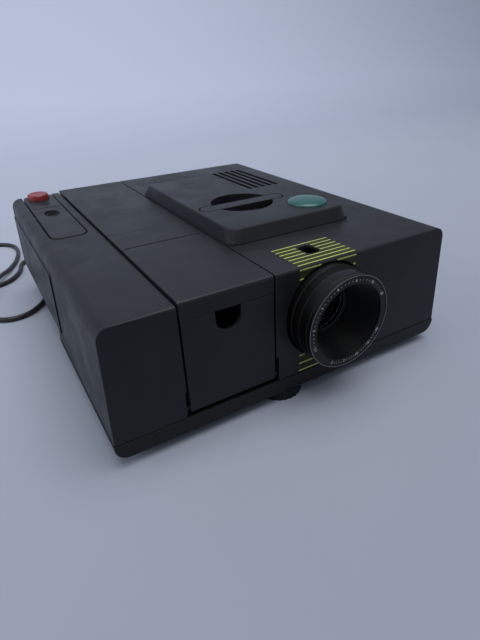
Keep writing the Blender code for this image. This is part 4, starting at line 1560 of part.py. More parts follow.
def make_cords():
    # The remote control's cord, its coil and the tail that ends in the plug at the back
    inner = HANDSET_Y[1] - HANDSET_WALL - SEAT
    relief = [(0, inner - HANDSET_WALL), (RELIEF_FLANGE, inner - HANDSET_WALL), (RELIEF_FLANGE, inner),
              (RELIEF_NECK, inner),
              (RELIEF_NECK, BACK), (RELIEF_RADIUS, BACK), (RELIEF_RADIUS, BACK + HANDSET_WALL),
              (REMOTE_DIAMETER * 0.58, BACK + RELIEF_LENGTH), (0, BACK + RELIEF_LENGTH)]
    solid("handset_relief", turned(relief, (RED_X, 0, RELIEF_Z), "Y", 16), RUBBER)
    coil = coil_points(REMOTE_COIL_CENTRE, -90, REMOTE_COIL_TURNS, REMOTE_DIAMETER, False, False)
    tube("remote_coil", coil, REMOTE_DIAMETER, 1, RUBBER)
    report_cord("remote_coil", coil, REMOTE_DIAMETER)
    start = (RED_X, BACK + RELIEF_LENGTH + SEAT, RELIEF_Z)
    route = routed(start, (0, 1, 0), REMOTE_ROUTE, coil, 0, REMOTE_DIAMETER, REMOTE_DIAMETER * POINT_STEP)
    tube("remote_cord", route, REMOTE_DIAMETER, 2, RUBBER)
    report_cord("remote_cord", route, REMOTE_DIAMETER)
    start = (SOCKET_X, BACK + DIN_PLUG_LENGTH + DIN_TAIL_LENGTH + SEAT, SOCKET_Z)
    route = routed(start, (0, 1, 0), TAIL_ROUTE, coil, -1, REMOTE_DIAMETER, REMOTE_DIAMETER * 2)
    tube("remote_tail", route, REMOTE_DIAMETER, 3, RUBBER)
    report_cord("remote_tail", route, REMOTE_DIAMETER)
    nose = DIN_CUP - SEAT
    collar = [(0, BACK - DIN_DEPTH + RUNNING), (nose, BACK - DIN_DEPTH + RUNNING), (nose, BACK + SEAT),
              (DIN_RADIUS * 0.9, BACK + SEAT),
              (DIN_RADIUS * 0.9, BACK + DIN_PLUG_LENGTH), (REMOTE_DIAMETER * 0.8, BACK + DIN_PLUG_LENGTH),
              (REMOTE_DIAMETER * 0.6, BACK + DIN_PLUG_LENGTH + DIN_TAIL_LENGTH),
              (0, BACK + DIN_PLUG_LENGTH + DIN_TAIL_LENGTH)]
    solid("remote_plug", turned(collar, (SOCKET_X, 0, SOCKET_Z), "Y", 20), BLACK)

    # The mains lead, its coil and plug
    relief_end = BACK + MAINS_RELIEF_LENGTH
    inside = BACK - PANEL_THICK - SEAT
    relief = [(0, inside - WALL), (MAINS_RELIEF_RADIUS, inside - WALL), (MAINS_RELIEF_RADIUS, inside),
              (MAINS_BORE - SEAT, inside),
              (MAINS_BORE - SEAT, BACK + SEAT), (MAINS_RELIEF_RADIUS, BACK + SEAT),
              (MAINS_RELIEF_RADIUS, BACK + SEAT + WALL),
              (MAINS_DIAMETER * 0.78, BACK + WALL * 2), (MAINS_DIAMETER * 0.6, relief_end), (0, relief_end)]
    solid("mains_relief", turned(relief, (MAINS_X, 0, SOCKET_Z), "Y", 20), RUBBER)
    reach = MAINS_DIAMETER * COIL_WIDTHS / 2 + (MAINS_DIAMETER + COIL_AIR) * MAINS_COIL_TURNS / 4
    coil = coil_points((MAINS_X + reach, MAINS_COIL_Y), 180, MAINS_COIL_TURNS, MAINS_DIAMETER, True, True)
    tube("mains_coil", coil, MAINS_DIAMETER, 1, RUBBER)
    report_cord("mains_coil", coil, MAINS_DIAMETER)
    start = (MAINS_X, relief_end + SEAT, SOCKET_Z)
    route = routed(start, (0, 1, 0), MAINS_ROUTE, coil, 0, MAINS_DIAMETER, MAINS_DIAMETER * 2)
    tube("mains_cord", route, MAINS_DIAMETER, 3, RUBBER)
    report_cord("mains_cord", route, MAINS_DIAMETER)
    end = coil[-1]
    away = (coil[-1] - coil[-2]).normalized()
    make_mains_plug(end + away * SEAT, away)


def make_mains_plug(start, away):
    """A flat two-pin plug lying on the table, its neck rising from the lead to the middle of the body."""
    centre_z = PLUG_THICK / 2 + FLOOR_AIR
    neck_start = MAINS_DIAMETER * 0.6
    sections = ((0.0, neck_start, neck_start, start.z + MAINS_DIAMETER * 0.1),
                (PLUG_NECK, MAINS_DIAMETER * 0.85, MAINS_DIAMETER * 0.85, centre_z),
                (PLUG_NECK + PLUG_LENGTH * 0.3, PLUG_WIDTH / 2, PLUG_THICK / 2, centre_z),
                (PLUG_NECK + PLUG_LENGTH, PLUG_WIDTH / 2, PLUG_THICK / 2, centre_z))
    shape = bmesh.new()
    turn = math.atan2(away.y, away.x)
    rings = []
    sides = 16
    for along, half_width, half_height, z in sections:
        ring = []
        for i in range(sides):
            angle = math.tau * (i + 0.5) / sides
            c, s = math.cos(angle), math.sin(angle)
            bulge = 1 / max(abs(c), abs(s)) if half_width > half_height else 1
            squareness = 1 + (bulge - 1) * 0.8
            across = half_width * c * squareness
            up = half_height * s * squareness
            ring.append(shape.verts.new((start.x + along * math.cos(turn) - across * math.sin(turn),
                                         start.y + along * math.sin(turn) + across * math.cos(turn),
                                         z + up)))
        rings.append(ring)
    shape.faces.new(rings[0])
    shape.faces.new(rings[-1])
    for a, b in zip(rings, rings[1:]):
        for i in range(sides):
            shape.faces.new((a[i], a[(i + 1) % sides], b[(i + 1) % sides], b[i]))
    plug = solid("mains_plug", shape, BLACK)
    for side in (-1, 1):
        x = start.x - side * PIN_SPACING / 2 * math.sin(turn)
        y = start.y + side * PIN_SPACING / 2 * math.cos(turn)
        pin = rod((0, 0, 0), "X", PIN_RADIUS, PLUG_NECK + PLUG_LENGTH - WALL,
                  PLUG_NECK + PLUG_LENGTH + PIN_LENGTH, 16)
        bmesh.ops.rotate(pin, verts=pin.verts, cent=(0, 0, 0), matrix=Matrix.Rotation(turn, 3, "Z"))
        bmesh.ops.translate(pin, verts=pin.verts, vec=(x, y, centre_z))
        join(plug, pin, "pin")


make_base_tray()
make_tray_drive()
make_left_cover()
make_side_door()
make_handset()
make_front_door()
make_lids()
make_bridge()
make_channel()
make_right_housing()
make_rear_panel()
make_lamp_cover()
make_lens()
make_carriage()
make_gate()
make_mover()
make_lamp_house()
make_fan()
make_transformer()
make_board()
make_feet()
make_cords()
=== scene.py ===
import math

import bmesh
import bpy
from mathutils import Matrix, Vector


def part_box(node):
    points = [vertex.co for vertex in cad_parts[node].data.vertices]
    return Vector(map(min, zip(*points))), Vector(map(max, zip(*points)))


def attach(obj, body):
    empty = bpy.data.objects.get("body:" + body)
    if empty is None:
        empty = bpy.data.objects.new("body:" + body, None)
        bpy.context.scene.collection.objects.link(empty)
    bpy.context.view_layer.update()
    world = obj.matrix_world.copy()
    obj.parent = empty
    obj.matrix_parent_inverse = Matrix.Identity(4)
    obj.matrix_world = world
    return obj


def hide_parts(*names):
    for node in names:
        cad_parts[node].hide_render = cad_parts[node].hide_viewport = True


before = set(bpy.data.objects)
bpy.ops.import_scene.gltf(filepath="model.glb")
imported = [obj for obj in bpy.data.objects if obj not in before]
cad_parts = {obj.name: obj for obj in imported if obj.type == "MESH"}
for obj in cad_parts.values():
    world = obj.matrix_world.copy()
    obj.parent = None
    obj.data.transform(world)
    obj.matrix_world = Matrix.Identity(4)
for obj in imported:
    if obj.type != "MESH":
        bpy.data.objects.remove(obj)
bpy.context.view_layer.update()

# Units and fixed places of the projector, in metres
MM = 0.001
BASE_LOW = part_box("base_tray")[0]
HOUSING_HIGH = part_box("right_housing")[1]
COVER_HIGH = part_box("left_cover")[1]
BARREL_LOW, BARREL_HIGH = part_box("lens_barrel")
FRONT = BASE_LOW[1]
BACK = HOUSING_HIGH[1]
BASE = BASE_LOW[2]
TOP = HOUSING_HIGH[2]
FRONT_DRAFT = 3.9 * MM
BODY_HEIGHT = TOP - BASE
AXIS_X = (BARREL_LOW[0] + BARREL_HIGH[0]) / 2
AXIS_Z = (BARREL_LOW[2] + BARREL_HIGH[2]) / 2

# How far a print stands off its surface, and how far a laid-on piece reaches into what carries it
INK = 0.04 * MM
BITE = 0.02 * MM


# Small helpers


def in_scene(name, data):
    """An object of this data, in the scene."""
    made = bpy.data.objects.new(name, data)
    bpy.context.scene.collection.objects.link(made)
    return made


def middle_of(name):
    """A CAD solid's low corner, high corner and middle."""
    low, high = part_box(name)
    return low, high, [(a + b) / 2 for a, b in zip(low, high)]


# Camera: the photograph's standpoint and lens

CAMERA_PLACE = (-0.1749, -0.3601, 0.2246)
CAMERA_YAW = math.radians(-29.97)
CAMERA_PITCH = math.radians(-30.21)
CAMERA_ROLL = math.radians(-1.90)
FOCAL_PIXELS = 459.6
FRAME_HEIGHT = 640
SENSOR = 36


def make_camera():
    forward = Vector((-math.sin(CAMERA_YAW) * math.cos(CAMERA_PITCH),
                      math.cos(CAMERA_YAW) * math.cos(CAMERA_PITCH), math.sin(CAMERA_PITCH)))
    level = Vector((math.cos(CAMERA_YAW), math.sin(CAMERA_YAW), 0))
    up = level.cross(forward)
    right = level * math.cos(CAMERA_ROLL) + up * math.sin(CAMERA_ROLL)
    above = up * math.cos(CAMERA_ROLL) - level * math.sin(CAMERA_ROLL)
    made = bpy.data.cameras.new("camera")
    made.sensor_width = SENSOR
    made.lens = FOCAL_PIXELS / FRAME_HEIGHT * SENSOR
    made.clip_start = 0.01
    placed = in_scene("camera", made)
    facing = Matrix((right, above, -forward)).transposed().to_4x4()
    placed.matrix_world = Matrix.Translation(CAMERA_PLACE) @ facing
    bpy.context.scene.camera = placed


# Node trees


def add(tree, kind, inputs=None, **settings):
    """Adds a node; an input given as a socket is linked, anything else is set."""
    made = tree.nodes.new(kind)
    for setting, value in settings.items():
        setattr(made, setting, value)
    for key, value in (inputs or {}).items():
        if isinstance(value, bpy.types.NodeSocket):
            tree.links.new(value, made.inputs[key])
        else:
            made.inputs[key].default_value = value
    return made


def maths(tree, operation, *values, clamp=False):
    return add(tree, "ShaderNodeMath", dict(enumerate(values)), operation=operation,
               use_clamp=clamp).outputs[0]


def spread(tree, value, low, high, to_low=0.0, to_high=1.0):
    """Maps low..high to to_low..to_high, clamped."""
    ranges = {"Value": value, "From Min": low, "From Max": high, "To Min": to_low, "To Max": to_high}
    return add(tree, "ShaderNodeMapRange", ranges).outputs["Result"]


def blended(tree, share, first, second):
    """Mixes two colours; 6 and 7 are the Mix node's colour inputs and 2 its colour output."""
    return add(tree, "ShaderNodeMix", {0: share, 6: first, 7: second}, data_type="RGBA").outputs[2]


def colour(red, green, blue):
    return red, green, blue, 1.0


def shader_group(name, inputs, outputs):
    """A shader group with these sizes going in and these masks, heights or normals coming out."""
    tree = bpy.data.node_groups.new(name, "ShaderNodeTree")
    for label, value in inputs.items():
        tree.interface.new_socket(label, in_out="INPUT", socket_type="NodeSocketFloat").default_value = value
    for label, kind in outputs.items():
        tree.interface.new_socket(label, in_out="OUTPUT", socket_type="NodeSocket" + kind)
    return tree, tree.nodes.new("NodeGroupInput").outputs, tree.nodes.new("NodeGroupOutput")


def place_group(tree, group, **sizes):
    """Places a group in a material; the sizes name its inputs, with _ for a space."""
    made = tree.nodes.new("ShaderNodeGroup")
    made.node_tree = group
    for label, value in sizes.items():
        made.inputs[label.replace("_", " ")].default_value = value
    return made.outputs


def noise_at(tree, place, size, detail, **more):
    """Noise of the given size."""
    given = {"Vector": place, "Scale": maths(tree, "DIVIDE", 1.0, size), "Detail": detail, **more}
    return add(tree, "ShaderNodeTexNoise", given).outputs[0]


def make_grain():
    """Spark-eroded mould texture: rounded pits of one size with a finer one between them."""
    tree, sizes, out = shader_group("mould_grain", {"Size": 0.0008}, {"Height": "Float", "Shade": "Float"})
    place = add(tree, "ShaderNodeTexCoord").outputs["Object"]
    density = maths(tree, "DIVIDE", 1.0, sizes["Size"])
    cells = add(tree, "ShaderNodeTexVoronoi", {"Vector": place, "Scale": density},
                feature="SMOOTH_F1").outputs["Distance"]
    noise = noise_at(tree, place, sizes["Size"], 3.0, Roughness=0.6)
    height = maths(tree, "ADD", maths(tree, "MULTIPLY", cells, 0.6), maths(tree, "MULTIPLY", noise, 0.4))
    tree.links.new(height, out.inputs["Height"])
    tree.links.new(spread(tree, noise, 0.3, 0.7), out.inputs["Shade"])
    return tree


def make_mottle():
    """Slow patches, as of handling and uneven gloss."""
    tree, sizes, out = shader_group("mottle", {"Size": 0.03}, {"Mask": "Float"})
    place = add(tree, "ShaderNodeTexCoord").outputs["Object"]
    noise = noise_at(tree, place, sizes["Size"], 5.0, Roughness=0.55, Distortion=0.6)
    tree.links.new(spread(tree, noise, 0.35, 0.65), out.inputs["Mask"])
    return tree


def make_edge_wear():
    """A mask along edges, broken up by noise, and the normal of slightly rounded edges."""
    tree, sizes, out = shader_group("edge_wear", {"Radius": 0.0006, "Breakup": 0.004},
                                    {"Mask": "Float", "Normal": "Vector"})
    place = add(tree, "ShaderNodeTexCoord").outputs["Object"]
    round_edge = add(tree, "ShaderNodeBevel", {"Radius": sizes["Radius"]}, samples=6).outputs[0]
    flat = add(tree, "ShaderNodeNewGeometry").outputs["Normal"]
    facing = add(tree, "ShaderNodeVectorMath", {0: round_edge, 1: flat},
                 operation="DOT_PRODUCT").outputs["Value"]
    bent = spread(tree, maths(tree, "SUBTRACT", 1.0, facing), 0.02, 0.16)
    noise = noise_at(tree, place, sizes["Breakup"], 6.0, Roughness=0.7)
    tree.links.new(maths(tree, "MULTIPLY", bent, spread(tree, noise, 0.42, 0.62)), out.inputs["Mask"])
    tree.links.new(round_edge, out.inputs["Normal"])
    return tree


def make_dust():
    """Specks and a thin film on faces that look up."""
    tree, sizes, out = shader_group("dust", {"Speck": 0.0009, "Film": 0.02},
                                    {"Specks": "Float", "Film": "Float"})
    sources = add(tree, "ShaderNodeTexCoord").outputs
    upward = add(tree, "ShaderNodeSeparateXYZ", {0: sources["Normal"]}).outputs["Z"]
    upward = spread(tree, upward, 0.2, 0.95)
    speck_density = maths(tree, "DIVIDE", 1.0, sizes["Speck"])
    cells = add(tree, "ShaderNodeTexVoronoi", {"Vector": sources["Object"], "Scale": speck_density}).outputs
    tone = add(tree, "ShaderNodeSeparateColor", {0: cells["Color"]}).outputs[0]
    chosen = maths(tree, "GREATER_THAN", tone, 0.965)
    specks = maths(tree, "MULTIPLY", chosen, spread(tree, cells["Distance"], 0.22, 0.08))
    film = noise_at(tree, sources["Object"], sizes["Film"], 6.0)
    tree.links.new(maths(tree, "MULTIPLY", specks, upward), out.inputs["Specks"])
    tree.links.new(maths(tree, "MULTIPLY", spread(tree, film, 0.35, 0.75), upward), out.inputs["Film"])
    return tree


GRAIN = make_grain()
MOTTLE = make_mottle()
EDGE_WEAR = make_edge_wear()
DUST = make_dust()

DUST_COLOUR = colour(0.42, 0.41, 0.38)
FILM_SHARE = 0.03


def surface(name):
    """An empty material: its tree and its Principled BSDF."""
    made = bpy.data.materials.new(name)
    made.use_nodes = True
    return made, made.node_tree, made.node_tree.nodes["Principled BSDF"]


def finish(name, base, rough, grain=0.8, depth=0.02, wear=0.25, dust=0.3, metal=0.0, worn=None, coat=0.0,
           patch=30, edge=0.5, tone=0.25, specular=0.5):
    """A solid material: grain, uneven gloss, worn edges and dust over one colour; sizes in millimetres."""
    made, tree, shader = surface(name)
    shader.inputs["Metallic"].default_value = metal
    shader.inputs["Coat Weight"].default_value = coat
    shader.inputs["Coat Roughness"].default_value = 0.12
    shader.inputs["Specular IOR Level"].default_value = specular
    grained = place_group(tree, GRAIN, Size=grain * MM)
    patches = place_group(tree, MOTTLE, Size=patch * MM)["Mask"]
    worn_edge = place_group(tree, EDGE_WEAR, Radius=edge * MM)
    dusty = place_group(tree, DUST)
    dark = colour(*(c * (1 - tone) for c in base))
    light = colour(*(min(1.0, c * (1 + tone)) for c in base))
    mixed_tone = maths(tree, "ADD", maths(tree, "MULTIPLY", grained["Shade"], 0.5),
                       maths(tree, "MULTIPLY", patches, 0.5))
    shown = blended(tree, mixed_tone, dark, light)
    shown = blended(tree, maths(tree, "MULTIPLY", worn_edge["Mask"], wear), shown,
                    colour(*(worn or (c * 2.6 + 0.02 for c in base))))
    film = maths(tree, "MULTIPLY", dusty["Film"], dust * FILM_SHARE)
    specks = maths(tree, "MULTIPLY", dusty["Specks"], dust)
    covered = maths(tree, "MAXIMUM", film, specks)
    tree.links.new(blended(tree, covered, shown, DUST_COLOUR), shader.inputs["Base Color"])
    gloss = spread(tree, patches, 0.0, 1.0, rough - 0.05, rough + 0.07)
    gloss = maths(tree, "SUBTRACT", gloss, maths(tree, "MULTIPLY", worn_edge["Mask"], 0.12 * wear))
    gloss = maths(tree, "ADD", gloss, maths(tree, "MULTIPLY", covered, 0.5), clamp=True)
    tree.links.new(gloss, shader.inputs["Roughness"])
    bump = add(tree, "ShaderNodeBump", {"Strength": 1.0, "Distance": depth * MM,
                                        "Height": grained["Height"], "Normal": worn_edge["Normal"]})
    tree.links.new(bump.outputs[0], shader.inputs["Normal"])
    return made


def glass(name, base, rough, ior=1.52, smear=0.05):
    """Clear glass with faint wipe marks."""
    made, tree, shader = surface(name)
    shader.inputs["Transmission Weight"].default_value = 1.0
    shader.inputs["IOR"].default_value = ior
    patches = place_group(tree, MOTTLE, Size=6 * MM)["Mask"]
    tree.links.new(blended(tree, patches, colour(*(c * 0.97 for c in base)), colour(*base)),
                   shader.inputs["Base Color"])
    tree.links.new(spread(tree, patches, 0.0, 1.0, rough, rough + smear), shader.inputs["Roughness"])
    return made


def striped(name, first, second, pitch, axis, rough, metal, depth):
    """Fine lines side by side, such as laminations or turns of wire."""
    made, tree, shader = surface(name)
    shader.inputs["Metallic"].default_value = metal
    sources = add(tree, "ShaderNodeTexCoord").outputs
    along = add(tree, "ShaderNodeSeparateXYZ", {0: sources["Object"]}).outputs[axis]
    wave = maths(tree, "PINGPONG", along, pitch / 2)
    wave = spread(tree, wave, 0.0, pitch / 2)
    patches = place_group(tree, MOTTLE, Size=8 * MM)["Mask"]
    worn_edge = place_group(tree, EDGE_WEAR, Radius=0.4 * MM)
    share = maths(tree, "ADD", maths(tree, "MULTIPLY", wave, 0.7), maths(tree, "MULTIPLY", patches, 0.3))
    tree.links.new(blended(tree, share, colour(*first), colour(*second)), shader.inputs["Base Color"])
    tree.links.new(spread(tree, patches, 0.0, 1.0, rough - 0.05, rough + 0.1), shader.inputs["Roughness"])
    bump = add(tree, "ShaderNodeBump", {"Strength": 1.0, "Distance": depth, "Height": wave,
                                        "Normal": worn_edge["Normal"]})
    tree.links.new(bump.outputs[0], shader.inputs["Normal"])
    return made


# name, base colour, roughness, grain size and depth in millimetres, wear, dust
CASING = finish("anthracite_plastic", (0.0108, 0.0116, 0.0140), 0.42, 0.55, 0.010, 0.25, 0.35, edge=0.8,
                specular=0.24)
BASE_BLACK = finish("black_plastic", (0.0055, 0.0060, 0.0072), 0.46, 0.7, 0.012, 0.25, 0.3, specular=0.26)
LENS_BLACK = finish("lens_black", (0.0022, 0.0022, 0.0025), 0.36, 0.4, 0.005, 0.06, 0.10, specular=0.28)
KEY_BLACK = finish("key_black", (0.0016, 0.0016, 0.0018), 0.5, 0.5, 0.004, 0.05, 0.08, specular=0.12)
BUTTON_GREEN = finish("button_green", (0.010, 0.082, 0.076), 0.34, 0.5, 0.003, 0.1, 0.2,
                      worn=(0.05, 0.22, 0.20), coat=0.25, specular=0.45)
BUTTON_RED = finish("button_red", (0.215, 0.018, 0.022), 0.36, 0.5, 0.004, 0.15, 0.25,
                    worn=(0.42, 0.09, 0.09), coat=0.15)
RUBBER = finish("rubber", (0.013, 0.013, 0.014), 0.68, 0.5, 0.02, 0.2, 0.5)
CORD_RUBBER = finish("cord_rubber", (0.010, 0.010, 0.012), 0.42, 0.6, 0.01, 0.0, 0.2)
SHEET_ZINC = finish("zinc_sheet", (0.48, 0.49, 0.50), 0.36, 2.5, 0.004, 0.3, 0.15, metal=1.0,
                    worn=(0.75, 0.75, 0.76))
STEEL = finish("bright_steel", (0.50, 0.50, 0.51), 0.26, 1.2, 0.003, 0.3, 0.1, metal=1.0,
               worn=(0.7, 0.7, 0.7))
SILVERED = finish("silvered_mirror", (0.88, 0.88, 0.87), 0.06, 4, 0.001, 0.1, 0.05, metal=1.0)
CERAMIC = finish("lamp_ceramic", (0.72, 0.69, 0.62), 0.55, 0.6, 0.02, 0.3, worn=(0.5, 0.47, 0.42))
NYLON = finish("white_nylon", (0.66, 0.64, 0.57), 0.42, 0.8, 0.008, 0.15, 0.2, tone=0.08)
OPTICAL_GLASS = glass("optical_glass", (0.93, 0.96, 0.97), 0.015)
HEAT_GLASS = glass("heat_glass", (0.70, 0.90, 0.84), 0.03)
COPPER_WIRE = striped("copper_winding", (0.22, 0.06, 0.02), (0.62, 0.25, 0.11), 0.8 * MM, 2, 0.35, 0.9,
                      0.08 * MM)
LAMINATED = striped("iron_laminations", (0.05, 0.05, 0.055), (0.17, 0.17, 0.18), 1.0 * MM, 1, 0.45, 0.8,
                    0.05 * MM)
BOARD_GREEN = finish("board_lacquer", (0.020, 0.110, 0.045), 0.32, 2.2, 0.01, 0.1, tone=0.35, coat=0.3)
PRINT_LIME = finish("lime_print", (0.42, 0.50, 0.13), 0.5, 0.5, 0.003, 0.1, 0.1, tone=0.10)
PRINT_OLIVE = finish("olive_print", (0.0240, 0.0285, 0.0050), 0.5, 0.6, 0.006, 0.1, 0.2, specular=0.2)
PRINT_WHITE = finish("white_print", (0.62, 0.63, 0.64), 0.5, 0.4, 0.002, 0.1, 0.1, tone=0.15)
# A pale grey used only for the painted highlight round the lens rim
RIM_HIGHLIGHT_GREY = finish("painted_rim_highlight", (0.26, 0.27, 0.29), 0.4, 0.4, 0.002, 0.1, 0.1, tone=0.15)

SLOT_FINISH = {
    "casing": CASING, "base_black": BASE_BLACK, "lens_black": LENS_BLACK, "green": BUTTON_GREEN,
    "red": BUTTON_RED, "foot_rubber": RUBBER, "cord_rubber": CORD_RUBBER, "optical_glass": OPTICAL_GLASS,
    "heat_glass": HEAT_GLASS, "sheet": SHEET_ZINC, "steel": STEEL, "mirror": SILVERED,
    "ceramic": CERAMIC, "nylon": NYLON, "copper": COPPER_WIRE, "laminated": LAMINATED,
    "board": BOARD_GREEN,
}


def dress_nodes():
    """Gives each carried-over CAD node the finish of its material slot."""
    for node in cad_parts.values():
        for slot in node.material_slots:
            slot.material = SLOT_FINISH[slot.material.name]


# Making pieces


def piece(name, shape, material, body, replaces=(), smooth_deg=35):
    """A finished piece of a bmesh given in the projector's own places."""
    bmesh.ops.remove_doubles(shape, verts=shape.verts, dist=1e-7)
    bmesh.ops.recalc_face_normals(shape, faces=shape.faces)
    mesh = bpy.data.meshes.new(name)
    shape.to_mesh(mesh)
    shape.free()
    mesh.shade_smooth()
    mesh.set_sharp_from_angle(angle=math.radians(smooth_deg))
    mesh.materials.append(material)
    made = in_scene(name, mesh)
    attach(made, body)
    if replaces:
        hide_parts(*replaces)
    return made


def add_box(shape, low, high, lean=None):
    """Adds a box; lean moves each corner by what it returns for that corner's height."""
    corners = []
    for x in (low[0], high[0]):
        for y in (low[1], high[1]):
            for z in (low[2], high[2]):
                shift = lean(z) if lean else 0.0
                corners.append(shape.verts.new((x, y + shift, z)))
    for a, b, c, d in ((0, 1, 3, 2), (4, 6, 7, 5), (0, 4, 5, 1), (2, 3, 7, 6), (0, 2, 6, 4), (1, 5, 7, 3)):
        shape.faces.new((corners[a], corners[b], corners[c], corners[d]))


def add_turned(shape, profile, centre, axis, steps=48):
    """Adds a body turned round an axis through centre; profile lists (radius, place along the axis)."""
    frames = {"X": (Vector((0, 1, 0)), Vector((0, 0, 1)), Vector((1, 0, 0))),
              "Y": (Vector((1, 0, 0)), Vector((0, 0, 1)), Vector((0, 1, 0))),
              "Z": (Vector((1, 0, 0)), Vector((0, 1, 0)), Vector((0, 0, 1)))}
    across, up, along = frames[axis]
    rings = []
    for radius, place in profile:
        middle = Vector(centre) + along * place
        if radius == 0:
            rings.append([shape.verts.new(middle)])
            continue
        turns = (math.tau * i / steps for i in range(steps))
        rings.append([shape.verts.new(middle + (across * math.cos(t) + up * math.sin(t)) * radius)
                      for t in turns])
    for first, second in zip(rings, rings[1:]):
        for i in range(steps):
            j = (i + 1) % steps
            ring = [first[i % len(first)], first[j % len(first)], second[j % len(second)],
                    second[i % len(second)]]
            corners = list(dict.fromkeys(ring))
            if len(corners) > 2:
                shape.faces.new(corners)
    return rings


def oval(shape, centre, half_x, half_y, steps):
    """A level ring of points round a centre."""
    x, y, z = centre
    turns = [math.tau * i / steps for i in range(steps)]
    return [shape.verts.new((x + half_x * math.cos(turn), y + half_y * math.sin(turn), z)) for turn in turns]


def bridge(shape, rings):
    """Faces between each closed ring of points and the next."""
    for first, second in zip(rings, rings[1:]):
        for i in range(len(first)):
            j = (i + 1) % len(first)
            shape.faces.new((first[i], first[j], second[j], second[i]))


# Geometry Nodes: what repeats, and what follows a path


def node_group(name, inputs):
    """A geometry group with its named inputs, Geometry first."""
    tree = bpy.data.node_groups.new(name, "GeometryNodeTree")
    tree.interface.new_socket("Geometry", in_out="INPUT", socket_type="NodeSocketGeometry")
    for label, kind in inputs.items():
        tree.interface.new_socket(label, in_out="INPUT", socket_type="NodeSocket" + kind)
    tree.interface.new_socket("Geometry", in_out="OUTPUT", socket_type="NodeSocketGeometry")
    return tree, tree.nodes.new("NodeGroupInput").outputs, tree.nodes.new("NodeGroupOutput").inputs[0]


def finish_group(tree, geometry, material, out):
    real = add(tree, "GeometryNodeRealizeInstances", {0: geometry}).outputs[0]
    tree.links.new(add(tree, "GeometryNodeSetMaterial", {0: real, "Material": material}).outputs[0], out)


def make_repeat():
    """Puts a part on every point, turned to the point's facing, with the point's own spin and size."""
    tree, given, out = node_group("repeat_part", {"Part": "Object", "Scale": "Float", "Material": "Material"})
    read = {}
    for label, kind in (("facing", "FLOAT_VECTOR"), ("spin", "FLOAT"), ("size", "FLOAT")):
        read[label] = add(tree, "GeometryNodeInputNamedAttribute", {0: label}, data_type=kind).outputs[0]
    aligned = add(tree, "FunctionNodeAlignRotationToVector", {"Vector": read["facing"]},
                  axis="Z").outputs[0]
    turn = {"Axis": (0, 0, 1), "Angle": read["spin"]}
    twist = add(tree, "FunctionNodeAxisAngleToRotation", turn).outputs[0]
    turned = add(tree, "FunctionNodeRotateRotation", {0: aligned, 1: twist},
                 rotation_space="LOCAL").outputs[0]
    size = add(tree, "ShaderNodeMath", {0: read["size"], 1: given["Scale"]},
               operation="MULTIPLY").outputs[0]
    part = add(tree, "GeometryNodeObjectInfo", {"Object": given["Part"]}).outputs["Geometry"]
    put = {"Points": given["Geometry"], "Instance": part, "Rotation": turned, "Scale": size}
    made = add(tree, "GeometryNodeInstanceOnPoints", put)
    finish_group(tree, made.outputs[0], given["Material"], out)
    return tree


def make_sweep():
    """Sweeps a round section along the edges it is given, after smoothing them."""
    tree, given, out = node_group("sweep_path", {"Radius": "Float", "Sides": "Int", "Step": "Float",
                                                 "Material": "Material"})
    path = add(tree, "GeometryNodeMeshToCurve", {0: given["Geometry"]}).outputs[0]
    path = add(tree, "GeometryNodeCurveSplineType", {0: path}, spline_type="CATMULL_ROM").outputs[0]
    path = add(tree, "GeometryNodeResampleCurve", {"Curve": path, "Length": given["Step"]},
               mode="LENGTH").outputs[0]
    circle = {"Resolution": given["Sides"], "Radius": given["Radius"]}
    section = add(tree, "GeometryNodeCurvePrimitiveCircle", circle).outputs[0]
    swept = {"Curve": path, "Profile Curve": section, "Fill Caps": True}
    made = add(tree, "GeometryNodeCurveToMesh", swept).outputs[0]
    smooth = add(tree, "GeometryNodeSetShadeSmooth", {0: made}).outputs[0]
    finish_group(tree, smooth, given["Material"], out)
    return tree


REPEAT = make_repeat()
SWEEP = make_sweep()


def grown(name, source, group, material, body, slot=None, replaces=(), smooth_deg=35, **inputs):
    """Runs a geometry group over a mesh and keeps its result as one plain piece."""
    start = in_scene(name + "_start", source)
    run = start.modifiers.new("grow", "NODES")
    run.node_group = group
    sockets = {item.name: item.identifier for item in group.interface.items_tree if item.in_out == "INPUT"}
    for label, value in {"Material": material, **inputs}.items():
        run[sockets[label]] = value
    start.update_tag()
    bpy.context.view_layer.update()
    ready = start.evaluated_get(bpy.context.evaluated_depsgraph_get())
    mesh = bpy.data.meshes.new_from_object(ready)
    bpy.data.objects.remove(start)
    shape = bmesh.new()
    shape.from_mesh(mesh)
    bpy.data.meshes.remove(mesh)
    return piece(name, shape, material, body, replaces, smooth_deg)


def repeat(name, part, places, material, body, slot=None, replaces=(), scale=1.0, smooth_deg=35):
    """Repeats a bmesh part at (place, facing, spin, size)."""
    model = bpy.data.meshes.new(name + "_part")
    bmesh.ops.recalc_face_normals(part, faces=part.faces)
    part.to_mesh(model)
    part.free()
    holder = in_scene(name + "_part", model)
    points = bpy.data.meshes.new(name + "_points")
    points.from_pydata([tuple(p[0]) for p in places], [], [])
    for label, kind, key, column in (("facing", "FLOAT_VECTOR", "vector", 1), ("spin", "FLOAT", "value", 2),
                                     ("size", "FLOAT", "value", 3)):
        data = points.attributes.new(label, kind, "POINT").data
        for item, entry in zip(data, places):
            setattr(item, key, entry[column])
    made = grown(name, points, REPEAT, material, body, slot, replaces, smooth_deg, Part=holder, Scale=scale)
    bpy.data.objects.remove(holder)
    return made


def sweep(name, paths, radius, material, body, slot=None, sides=10, step=2.0 * MM, replaces=()):
    """Round wires or beads along the given paths."""
    line = bpy.data.meshes.new(name + "_line")
    points, edges = [], []
    for path in paths:
        first = len(points)
        points += [tuple(point) for point in path]
        edges += [(first + i, first + i + 1) for i in range(len(path) - 1)]
    line.from_pydata(points, edges, [])
    return grown(name, line, SWEEP, material, body, slot, replaces, Radius=radius, Sides=sides, Step=step)


# Small repeated parts


